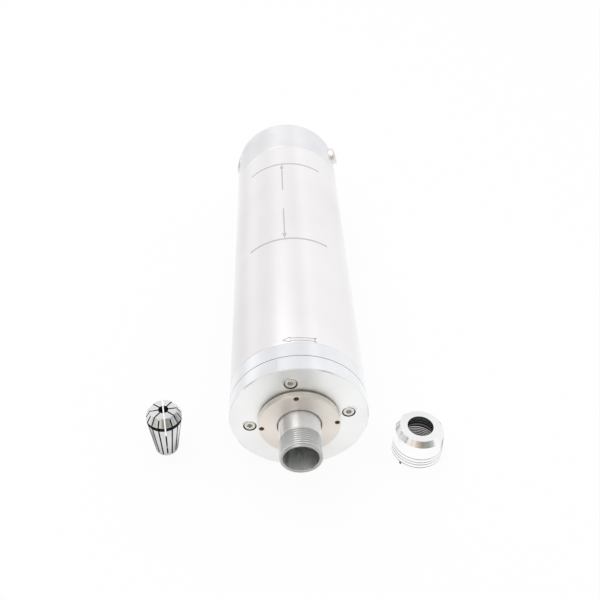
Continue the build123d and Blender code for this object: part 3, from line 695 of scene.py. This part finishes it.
ridge_foot_r = THREAD_MINOR_R - 0.05
ridge = [NOSE_TIP + place for place in NOSE_RIDGE]
nose_thread = mesh_object("nose_thread", coil((
    (ridge_foot_r, ridge[0]), (NOSE_R, ridge[1]), (NOSE_R, ridge[2]), (ridge_foot_r, ridge[3])),
    NOSE_PITCH, NOSE_TURNS))
finished(nose_thread, "rotor", "shaft_steel", [superfinished_shaft_steel, thread_root_painted_shade],
         edge=0.03)
# The nose thread's flanks in painted shade.
refaced(nose_thread, 1, lambda middle, normal: middle.xz.length < NOSE_R - 0.05)


# ======== rear end
rear_cutters = []
for angle in PORT_ANGLES.values():
    rear_cutters += [
        move(rod(PORT_PLUG_R + 0.02, 12), along_spoke(PORT_STATION, angle, 32)),
        move(rod(PORT_COLLAR_R + FIT_GAP, 5), along_spoke(PORT_STATION, angle, PORT_SEAT_R))]
rear = carved("rear_housing_body", spun((
    (REAR_LIP_R, SLEEVE_END), (spigot_r, SLEEVE_END), (spigot_r, TUBE_END),
    (BODY_R - SEAM_BREAK, TUBE_END), (BODY_R, TUBE_END + SEAM_BREAK),
    (BODY_R, REAR_FACE - EDGE_BREAK), (BODY_R - EDGE_BREAK, REAR_FACE), (COVER_R, REAR_FACE),
    (COVER_R, COVER_START), (CHAMBER_R, COVER_START), (CHAMBER_R, REAR_BEARING_END + 4),
    (REAR_BORE_R, REAR_BEARING_END + 4), (REAR_BORE_R, SLEEVE_END + 3),
    (REAR_LIP_R, SLEEVE_END + 3))), *rear_cutters)
finished(rear, "housing", "turned_steel", [rear_turned_steel, faced_cap_steel], edge=0.1,
         nodes=["rear_housing"])
refaced(rear, 1, lambda middle, normal: normal.y > 0.9)

cover_rim_r = COVER_R - FIT_GAP
cover = carved("rear_cover_plate", spun((
    (COVER_BORE_R, COVER_START), (cover_rim_r, COVER_START), (cover_rim_r, REAR_FACE - 0.3),
    (cover_rim_r - 0.3, REAR_FACE), (COVER_BORE_R, REAR_FACE))),
    *rods_on_circle(COVER_SCREW_HOLE_R, 8, COVER_SCREW_ANGLES, COVER_SCREW_CIRCLE,
                    COVER_START - 1),
    *rods_on_circle(COVER_SINK_R, 6, COVER_SCREW_ANGLES, COVER_SCREW_CIRCLE,
                    REAR_FACE - COVER_SINK_L))
finished(cover, "housing", "cover_aluminium", [anodised_aluminium], edge=0.1,
         nodes=["rear_cover"])

for side, angle in PORT_ANGLES.items():
    bush_l = PORT_PLUG_L + BODY_R - PORT_SEAT_R + PORT_PROUD[side]
    outer = bush_l - 0.5
    bush = mesh_object("coolant_bush_" + side, spun((
        (PORT_BORE_R, 0), (PORT_PLUG_R, 0), (PORT_PLUG_R, PORT_PLUG_L),
        (PORT_COLLAR_R, PORT_PLUG_L), (PORT_COLLAR_R, outer), (PORT_COLLAR_R - 0.5, bush_l),
        (PORT_BORE_R + 0.6, bush_l), (PORT_BORE_R, bush_l - 0.6)), steps=96))
    finished(bush, "housing", "port_brass", [nickel_plate], edge=0.1,
             nodes=["coolant_port_" + side],
             place=along_spoke(PORT_STATION, angle, PORT_SEAT_R - PORT_PLUG_L))

barrel_start = REAR_FACE + CONNECTOR_FLANGE_L
barrel_end = barrel_start + CONNECTOR_L
keyway = box((1.6, 6.4, 3.0), (0, barrel_end - 2.8, CONNECTOR_R))
shell = carved("connector_barrel_shell", spun((
    (CONNECTOR_BORE_R, CONNECTOR_START), (CONNECTOR_R, CONNECTOR_START),
    (CONNECTOR_R, REAR_FACE), (CONNECTOR_FLANGE_R, REAR_FACE),
    (CONNECTOR_FLANGE_R, barrel_start), (CONNECTOR_R, barrel_start),
    (CONNECTOR_R, barrel_end - 0.4), (CONNECTOR_R - 0.4, barrel_end),
    (CONNECTOR_BORE_R, barrel_end)), steps=128), keyway)
finished(shell, "housing", "connector_chrome", [nickel_plate], edge=0.1,
         nodes=["connector_shell"])

insert = carved("connector_contact_insert",
                move(rod(CONNECTOR_BORE_R, INSERT_L, sides=96),
                     Matrix.Translation((0, INSERT_START, 0))),
                *rods_on_circle(PIN_R, INSERT_L + 2, PIN_ANGLES, PIN_CIRCLE, INSERT_START - 1,
                                sides=32))
finished(insert, "housing", "connector_plastic", [moulded_pbt], edge=0.1,
         nodes=["connector_insert"])
pin_shapes = []
for angle in PIN_ANGLES:
    pin = spun(((0, 0), (PIN_R, 0), (PIN_R, PIN_L - 0.8), (PIN_R - 0.3, PIN_L - 0.2),
                (PIN_R - 0.6, PIN_L), (0, PIN_L)), steps=32)
    pin_shapes.append(move(pin, Matrix.Translation(around(angle, PIN_CIRCLE, PIN_START))))
pins = mesh_object("connector_contact_pins", together(*pin_shapes))
finished(pins, "housing", "contact_brass", [gold_plate], edge=0.08, nodes=["connector_pins"])


# ======== collet
cone_start = COLLET_L - COLLET_CONE_L
groove_top = cone_start - COLLET_RIM_L
taper_top = groove_top - COLLET_GROOVE_L
slot_cutters = []
for first, shift in ((COLLET_SLOT_ANGLE, COLLET_FRONT_STOP),
                     (COLLET_SLOT_ANGLE + 22.5, -COLLET_REAR_STOP)):
    for index in range(4):
        plate = box((COLLET_R * 4, COLLET_SLOT_W, COLLET_L), (0, 0, COLLET_L / 2 + shift))
        turn = Matrix.Rotation(radians(first + 45 * index), 4, "Z")
        slot_cutters.append(move(plate, turn))
collet = carved("spring_collet", spun((
    (COLLET_BORE_R, 0), (COLLET_FOOT_R - 0.4, 0), (COLLET_FOOT_R, 0.4),
    (COLLET_TAPER_R, taper_top), (COLLET_GROOVE_R, taper_top), (COLLET_GROOVE_R, groove_top),
    (COLLET_R, groove_top), (COLLET_R, cone_start), (COLLET_FACE_R, COLLET_L),
    (COLLET_BORE_R, COLLET_L)), upright=True), *slot_cutters)
collet_place = Matrix.Translation((COLLET_X, COLLET_STATION, FLOOR_Z))
finished(collet, "collet", "collet_steel", [ground_collet_steel, dark_seam_and_painted_shade],
         edge=0.1, nodes=["collet"], place=collet_place)


def in_slot_or_groove(middle, normal):
    """Slot walls face across a radius; the groove and the bore lie inside the ground surfaces."""
    out = middle.xy - Vector((COLLET_X, COLLET_STATION))
    height = middle.z - FLOOR_Z
    across = abs(out.normalized().cross(normal.xy)) > 0.75
    in_groove = taper_top - 0.15 < height < groove_top + 0.15 and out.length < 10.45
    slot_end = abs(normal.z) > 0.9 and 0.3 < height < COLLET_L - 0.3
    return across or in_groove or slot_end or out.length < 3.2


# Painted shade, near black: the slot walls and ends, the groove and the bore.
refaced(collet, 1, in_slot_or_groove)


# ======== clamping nut
def nut_side_r(height):
    """Radius of the nut's slightly conical side."""
    return NUT_BASE_R - (NUT_BASE_R - NUT_NECK_R) * height / NUT_NECK_Z


seat_low = NUT_SEAT_TOP - (NUT_SEAT_R - NUT_BORE_R) / tan(radians(NUT_SEAT_HALF_ANGLE))
groove_low = seat_low - NUT_GROOVE_L
lip_low = groove_low - NUT_LIP_L
relief_low = lip_low - NUT_RELIEF_L
nut_side = [(NUT_BASE_R, 0)]
for height in NUT_RINGS:
    surface_r = nut_side_r(height)
    low, high = height - NUT_RING_W / 2, height + NUT_RING_W / 2
    nut_side += [(surface_r, low), (surface_r - NUT_RING_DEPTH, low + 0.25),
                 (surface_r - NUT_RING_DEPTH, high - 0.25), (surface_r, high)]
nut_outline = [(NUT_MOUTH_R, 0)] + nut_side + [
    (NUT_NECK_R, NUT_NECK_Z), (NUT_TOP_R, NUT_L), (NUT_BORE_R, NUT_L),
    (NUT_BORE_R, NUT_SEAT_TOP), (NUT_SEAT_R, seat_low), (NUT_SEAT_R, groove_low),
    (NUT_LIP_R, groove_low), (NUT_LIP_R, lip_low), (NUT_RELIEF_R, lip_low),
    (NUT_RELIEF_R, relief_low), (NOSE_R, relief_low), (NOSE_R, NUT_MOUTH_R - NOSE_R)]
balance_hole = move(rod(BALANCE_HOLE_R, 5.0, sides=32), Matrix.Translation((0, 0, BALANCE_HOLE_Z))
                    @ Matrix.Rotation(radians(BALANCE_HOLE_ANGLE - 90), 4, "Z")
                    @ Matrix.Translation((0, NUT_BASE_R - 2, 0)))
nut = carved("collet_clamping_nut", spun(nut_outline, upright=True), balance_hole)
nut_place = Matrix.Translation((NUT_X, NUT_STATION, FLOOR_Z))
finished(nut, "clamping_nut", "nut_steel",
         [polished_nut_steel, nut_inside_painted_shade, nut_seat_painted_shade, ring_groove_painted_shade],
         edge=0.1, nodes=["clamping_nut"], place=nut_place)
nut_axis = Vector((NUT_X, NUT_STATION))
# Painted shade: the stepped inside up to the seat cone, and the cone with the bore above it.
refaced(nut, 1, lambda middle, normal: (middle.xy - nut_axis).length < 12.4
        and middle.z < FLOOR_Z + seat_low - 0.05)
refaced(nut, 2, lambda middle, normal: (middle.xy - nut_axis).length < 10.7
        and FLOOR_Z + seat_low - 0.05 < middle.z < FLOOR_Z + NUT_L - 0.15
        and abs(normal.z) < 0.9)
balance_out = Vector((cos(radians(BALANCE_HOLE_ANGLE)), sin(radians(BALANCE_HOLE_ANGLE))))
balance_mouth = nut_axis + balance_out * NUT_BASE_R


def in_balance_hole(middle, normal):
    """Near the hole's mouth, and not facing outwards as the nut's own side does."""
    away = Vector((*(middle.xy - balance_mouth), middle.z - FLOOR_Z - BALANCE_HOLE_Z))
    return away.length < 2.4 and abs(normal.xy.dot(balance_out)) < 0.9 and (
        (middle.xy - nut_axis).length < NUT_BASE_R - 0.15)


# The wall of the balance hole, in painted shade.
refaced(nut, 2, in_balance_hole)


def in_ring_groove(middle, normal):
    """At the bottom of a gripping ring."""
    height = middle.z - FLOOR_Z
    depth = nut_side_r(height) - (middle.xy - nut_axis).length
    return 0.12 < depth < 0.7 and height < NUT_NECK_Z


# The bottoms of the gripping rings, in painted shade.
refaced(nut, 3, in_ring_groove)

nut_thread = mesh_object("nut_thread", coil((
    (NOSE_R + 0.05, NUT_RIDGE[0]), (NOSE_R + 0.05, NUT_RIDGE[3]),
    (THREAD_MINOR_R, NUT_RIDGE[2]), (THREAD_MINOR_R, NUT_RIDGE[1])),
    NOSE_PITCH, NUT_TURNS, upright=True))
finished(nut_thread, "clamping_nut", "nut_steel", [cut_thread_steel, nut_inside_painted_shade],
         edge=0.03, place=nut_place)
# The nut thread's flanks in painted shade.
refaced(nut_thread, 1, lambda middle, normal:
        (middle.xy - nut_axis).length > THREAD_MINOR_R + 0.05)


# ======== markings on the tube

def wrapped(name, shape, mark=laser_marking):
    """Bends a flat mark onto the tube: x runs round it from the top, y along it, z outwards."""
    across = [e for e in shape.edges if abs(e.verts[0].co.x - e.verts[1].co.x) > 1]
    bmesh.ops.subdivide_edges(shape, edges=across, cuts=6, use_grid_fill=True)
    for vert in shape.verts:
        angle = pi / 2 - vert.co.x / BODY_R
        out = BODY_R + vert.co.z
        vert.co = (out * cos(angle), vert.co.y, out * sin(angle))
    made = mesh_object(name, shape)
    return finished(made, "housing", "ground_tube", [mark], edge=0)


def outlined(corners):
    """Flat face with the given (x, station) corners, just under the tube's surface."""
    shape = bmesh.new()
    shape.faces.new([shape.verts.new((x, station, -MARK_SINK)) for x, station in corners])
    return shape


def raised(shape):
    """Gives a flat face its thickness, to just over the tube's surface."""
    lid = bmesh.ops.extrude_face_region(shape, geom=shape.faces[:])
    tops = [v for v in lid["geom"] if isinstance(v, bmesh.types.BMVert)]
    bmesh.ops.translate(shape, verts=tops, vec=(0, 0, MARK_SINK + MARK_PROUD))
    bmesh.ops.recalc_face_normals(shape, faces=shape.faces)
    return shape


mark_low, mark_high = BODY_R - MARK_SINK, BODY_R + MARK_PROUD
zone_lines = mesh_object("clamping_zone_lines", together(*(
    arc(((mark_low, station - ZONE_LINE_W / 2), (mark_high, station - ZONE_LINE_W / 2),
         (mark_high, station + ZONE_LINE_W / 2), (mark_low, station + ZONE_LINE_W / 2)),
        *ZONE_LINE_ANGLES, 40) for station in (ZONE_START, ZONE_END))))
finished(zone_lines, "housing", "ground_tube", [laser_marking], edge=0)

arrow_parts = []
for tip, way, tail in ((ZONE_START + 0.8, 1, ARROW_GAP[0]), (ZONE_END - 0.8, -1, ARROW_GAP[1])):
    head_end = tip + way * ARROW_HEAD_L
    low, high = sorted((tip + way * ARROW_HEAD_L * 0.9, tail))
    left, right = ARROW_X - ARROW_LINE_W / 2, ARROW_X + ARROW_LINE_W / 2
    arrow_parts += [
        raised(outlined(((ARROW_X, tip), (ARROW_X + ARROW_HEAD_W / 2, head_end),
                         (ARROW_X - ARROW_HEAD_W / 2, head_end)))),
        raised(outlined(((left, low), (right, low), (right, high), (left, high))))]
wrapped("clamping_zone_arrow", together(*arrow_parts))

direction_line = outlined(DIRECTION_ARROW)
direction_line.normal_update()
whole = direction_line.faces[:]
bmesh.ops.inset_region(direction_line, faces=whole, thickness=DIRECTION_LINE_W,
                       use_boundary=True, use_even_offset=True)
bmesh.ops.delete(direction_line, geom=whole, context="FACES")
wrapped("cutting_direction_arrow", raised(direction_line), fine_laser_marking)

scribe = move(box((0.22, 7.6, 0.1), (0, 0, 0)),
              Matrix.Translation(around(SCRIBE_ANGLE, BODY_R, 5.9))
              @ Matrix.Rotation(radians(90 - SCRIBE_ANGLE), 4, "Y"))
finished(mesh_object("cap_scribe_line", scribe), "housing", "turned_steel", [laser_marking],
         edge=0)


def painted_shadow_arc(angle, first, last, radius, shift):
    """Curved arc of painted shadow round a counterbore, off its centre."""
    shadow_band = arc(((radius, -0.015), (radius + 0.16, -0.015), (radius + 0.16, 0.05),
                   (radius, 0.05)), first, last, 24)
    middle = around(angle, CAP_SCREW_CIRCLE, 0) + Vector((shift[0], 0, shift[1]))
    return move(shadow_band, Matrix.Translation(middle))


painted_shadow_arcs = mesh_object("counterbore_painted_shadow_arcs", together(
    painted_shadow_arc(CAP_SCREW_ANGLES[1], 95, 175, 4.2, (-0.6, 0.1)),
    painted_shadow_arc(CAP_SCREW_ANGLES[0], 20, 110, 4.3, (0.3, 0.5)),
    painted_shadow_arc(CAP_SCREW_ANGLES[2], 100, 160, 4.2, (-0.3, 0.1))))
finished(painted_shadow_arcs, "housing", "turned_steel", [painted_shadow_arc_colour], edge=0)


# ======== sealed inner pieces
# They keep their CAD shape.
inner_finishes = {
    "cooling_sleeve": jacket_aluminium, "jacket_orings": moulded_nitrile,
    "stator_core": stamped_laminations, "stator_winding": varnished_copper,
    "front_bearing_outer_rings": honed_bearing_steel, "front_outer_spacer": honed_bearing_steel,
    "rear_bearing_outer_rings": honed_bearing_steel, "preload_spring": blued_spring_steel,
    "connector_nut": nickel_plate, "front_bearing_inner_rings": honed_bearing_steel,
    "front_inner_spacer": honed_bearing_steel, "rotor_core": stamped_laminations,
    "rotor_cage": cast_aluminium, "rear_bearing_inner_rings": honed_bearing_steel,
    "rear_lock_nut": superfinished_shaft_steel, "front_ball_rows": phenolic_cage,
    "rear_ball_rows": phenolic_cage}
for node, material in inner_finishes.items():
    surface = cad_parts[node].data
    surface.materials.clear()
    surface.materials.append(material)


# ======== studio
def seen_directly(tree):
    """1 for rays from the camera, a mirror or glass, 0 for the light that falls on things."""
    path = add(tree, "LightPath")
    first = add(tree, "Math", {
        0: path.outputs["Is Camera Ray"], 1: path.outputs["Is Glossy Ray"]}, operation="MAXIMUM")
    return add(tree, "Math", {
        0: first, 1: path.outputs["Is Transmission Ray"]}, operation="MAXIMUM")


def grey(level):
    return (level, level, level, 1)


def colour_stops(ramp, stops):
    """Fills a colour ramp from (position, colour) stops, the first and last at its ends."""
    elements = ramp.color_ramp.elements
    elements[0].color = stops[0][1]
    elements[1].color = stops[-1][1]
    for position, colour in stops[1:-1]:
        elements.new(position).color = colour


ground = bmesh.new()
bmesh.ops.create_grid(ground, x_segments=1, y_segments=1, size=6.0)
bmesh.ops.translate(ground, verts=ground.verts, vec=(0, 0, FLOOR_Z * 0.001))
studio_floor = mesh_object("studio_floor", ground)
# White paper sweep: it reads white wherever it is lit and keeps a faint shadow.  In bright metal
# it shows painted shade, darker to the sides and bright again far out: (x in metres, light).
PAPER_IN_METAL = ((-1.0, 1.04), (-0.5, 1.04), (-0.32, 0.88), (-0.14, 0.88), (-0.07, 1.03),
                  (0.04, 1.03), (0.08, 1.05), (0.14, 0.94), (0.3, 0.94), (1.0, 0.95))
PAPER_GLOW = 0.92
white_paper, paper_tree = new_material("white_paper_sweep")
direct = seen_directly(paper_tree)
spot = add(paper_tree, "TexCoord")
under_collet = add(paper_tree, "VectorMath", {
    0: spot.outputs["Object"], 1: (collet_centre[0], collet_centre[1], FLOOR_Z * 0.001)},
    operation="DISTANCE")
open_paper = add(paper_tree, "MapRange", {
    "Value": under_collet.outputs["Value"], "From Min": 0.0056, "From Max": 0.0062,
    "To Max": PAPER_GLOW})
share = add(paper_tree, "Math", {0: direct, 1: open_paper}, operation="MULTIPLY")
spot_parts = add(paper_tree, "SeparateXYZ", {0: spot.outputs["Object"]})
sideways = add(paper_tree, "MapRange", {
    "Value": spot_parts.outputs["X"], "From Min": -1.0, "From Max": 1.0})
tone = add(paper_tree, "ValToRGB", {0: sideways})
colour_stops(tone, [((x + 1) / 2, grey(level)) for x, level in PAPER_IN_METAL])


def shaded_patch(tree, colour, x, y, middle, half, level):
    """Paints shade, a brownish grey, on a soft-edged rectangle of the floor: middle and half are (x,
    y) in metres.
    """
    sides = []
    for place, centre, reach in ((x, middle[0], half[0]), (y, middle[1], half[1])):
        off = add(tree, "Math", {0: place, 1: centre}, operation="SUBTRACT")
        away = add(tree, "Math", {0: off}, operation="ABSOLUTE")
        sides.append(add(tree, "MapRange", {
            "Value": away, "From Min": reach + 0.006, "From Max": reach - 0.006},
            interpolation_type="SMOOTHSTEP"))
    inside = add(tree, "Math", {0: sides[0], 1: sides[1]}, operation="MULTIPLY")
    return add(tree, "Mix", {
        "Factor": inside, 6: colour, 7: (level, level * 0.97, level * 0.93, 1)},
        data_type="RGBA").outputs["Result"]


# Painted shade on the floor, seen only in bright metal: a dark strip in front of the spindle, and
# patches to both sides of it.
beside = add(paper_tree, "Math", {0: spot_parts.outputs["X"]}, operation="ABSOLUTE")
in_metal = tone.outputs[0]
for middle, half, level in (((0.0, -0.262), (0.012, 0.03), 0.3),
                            ((0.084, -0.145), (0.018, 0.02), 0.35),
                            ((0.032, -0.125), (0.008, 0.045), 0.4)):
    in_metal = shaded_patch(paper_tree, in_metal, beside, spot_parts.outputs["Y"],
                            middle, half, level)
paper_path = add(paper_tree, "LightPath")
glow_colour = add(paper_tree, "Mix", {
    "Factor": paper_path.outputs["Is Camera Ray"], 6: in_metal, 7: (1, 1, 1, 1)},
    data_type="RGBA")
paper = add(paper_tree, "BsdfDiffuse", {"Color": linear("FCFCFC")})
glow = add(paper_tree, "Emission", {"Color": glow_colour.outputs["Result"], "Strength": 1.0})
mixed = add(paper_tree, "MixShader", {0: share, 1: paper, 2: glow})
add(paper_tree, "OutputMaterial", {0: mixed})
studio_floor.data.materials.append(white_paper)

# Long soft boxes hang alongside the spindle: (roll round its axis from overhead towards +X, light)
SOFT_BOXES = ((-180, 0.94), (-96, 1.08), (-80, 1.06), (-68, 0.92), (-52, 0.88), (-42, 0.84),
              (-31, 0.9), (-24, 0.93), (-14, 0.92), (-8, 0.9), (6, 0.9), (16, 0.92), (25, 1.03),
              (34, 1.01), (42, 0.94), (54, 0.97), (72, 0.93), (92, 0.97), (180, 0.94))
# Room beyond the table, in front of it, seen low down and higher up: (bearing from -Y towards
# +X, colour).
ROOM_LOW = ((-180, "FFFFFF"), (-125, "C8C8C6"), (-108, "8E8E8C"), (-80, "8E8E8C"), (-66, "D2D2CE"),
            (-44, "D2D2CE"), (-34, "F4EFE4"), (-12, "F4EFE4"), (-6, "A09C92"), (30, "A09C92"),
            (44, "B4B4AE"), (52, "B8B8B2"), (62, "FFFFFF"), (180, "FFFFFF"))
ROOM_HIGH = ((-180, "FFFFFF"), (-125, "D0D0CE"), (-105, "8E8E8C"), (-82, "8E8E8C"),
             (-70, "C4C4C2"), (-60, "F4F4F4"), (-50, "FFFFFF"), (-44, "E2DED6"),
             (-28, "F4EBDF"), (-20, "D4C0B4"), (-4, "BAA69A"), (8, "948C82"), (20, "98A294"),
             (36, "98A294"), (48, "D0D4CE"), (56, "FFFFFF"), (180, "FFFFFF"))
ROOM_SPLIT = (0.24, 0.28)    # height of a direction between the low and the high band
ROOM_TOP = 0.68              # height above which only the soft boxes are seen
ROOM_SOLID = 0.58            # and below which the room is

world = bpy.data.worlds.new("white_studio")
bpy.context.scene.world = world
world.use_nodes = True
sky = world.node_tree
sky.nodes.clear()
direction = add(sky, "TexCoord")
facing = add(sky, "SeparateXYZ", {0: direction.outputs["Generated"]})


def ring_of_colours(tree, side, ahead, stops):
    """Colours round an axis: the angle of a direction from one part towards another picks them."""
    angle = add(tree, "Math", {0: side, 1: ahead}, operation="ARCTAN2")
    place = add(tree, "MapRange", {"Value": angle, "From Min": -pi, "From Max": pi})
    ring = add(tree, "ValToRGB", {0: place})
    colour_stops(ring, [((degrees + 180) / 360, colour) for degrees, colour in stops])
    return ring.outputs[0]


boxes = ring_of_colours(sky, facing.outputs["X"], facing.outputs["Z"],
                        [(roll, grey(level)) for roll, level in SOFT_BOXES])
forward = add(sky, "Math", {0: facing.outputs["Y"], 1: -1.0}, operation="MULTIPLY")
bands = [ring_of_colours(sky, facing.outputs["X"], forward,
                         [(bearing, linear(colour)) for bearing, colour in band])
         for band in (ROOM_LOW, ROOM_HIGH)]
upper = add(sky, "MapRange", {
    "Value": facing.outputs["Z"], "From Min": ROOM_SPLIT[0], "From Max": ROOM_SPLIT[1]})
room = add(sky, "Mix", {"Factor": upper, 6: bands[0], 7: bands[1]},
           data_type="RGBA").outputs["Result"]
low = add(sky, "MapRange", {
    "Value": facing.outputs["Z"], "From Min": ROOM_TOP, "From Max": ROOM_SOLID},
    interpolation_type="SMOOTHSTEP")
behind = add(sky, "MapRange", {
    "Value": facing.outputs["Y"], "From Min": 0.6, "From Max": 0.45})
in_room = add(sky, "Math", {0: low, 1: behind}, operation="MULTIPLY")
shade = add(sky, "Mix", {"Factor": in_room, 6: boxes, 7: room}, data_type="RGBA")
path = add(sky, "LightPath")
background = add(sky, "Mix", {
    "Factor": path.outputs["Is Camera Ray"], 6: shade.outputs["Result"], 7: (1, 1, 1, 1)},
    data_type="RGBA")
light = add(sky, "Background", {"Color": background.outputs["Result"], "Strength": 1.0})
add(sky, "OutputWorld", {0: light})

lamp_data = bpy.data.lights.new("overhead_softbox", "AREA")
lamp_data.shape = "RECTANGLE"
lamp_data.size = 1.2
lamp_data.size_y = 0.8
lamp_data.energy = 3.5
lamp = bpy.data.objects.new("overhead_softbox", lamp_data)
bpy.context.scene.collection.objects.link(lamp)
lamp.location = (-0.5, 0.1, 1.3)
lamp.rotation_euler = (Vector((0, -0.05, 0)) - lamp.location).to_track_quat("-Z", "Y").to_euler()

# ======== camera
camera_data = bpy.data.cameras.new("camera")
camera_data.lens = 47.727
camera_data.sensor_width = 36.0
camera = bpy.data.objects.new("camera", camera_data)
bpy.context.scene.collection.objects.link(camera)
camera.matrix_world = Matrix((
    (0.99868433, -0.00144073, -0.05125954, -0.022963),
    (-0.03902838, 0.62703871, -0.7780098, -0.486138),
    (0.03326262, 0.77898677, 0.6261575, 0.338386),
    (0, 0, 0, 1)))
bpy.context.scene.camera = camera
bpy.context.scene.view_settings.view_transform = "Standard"
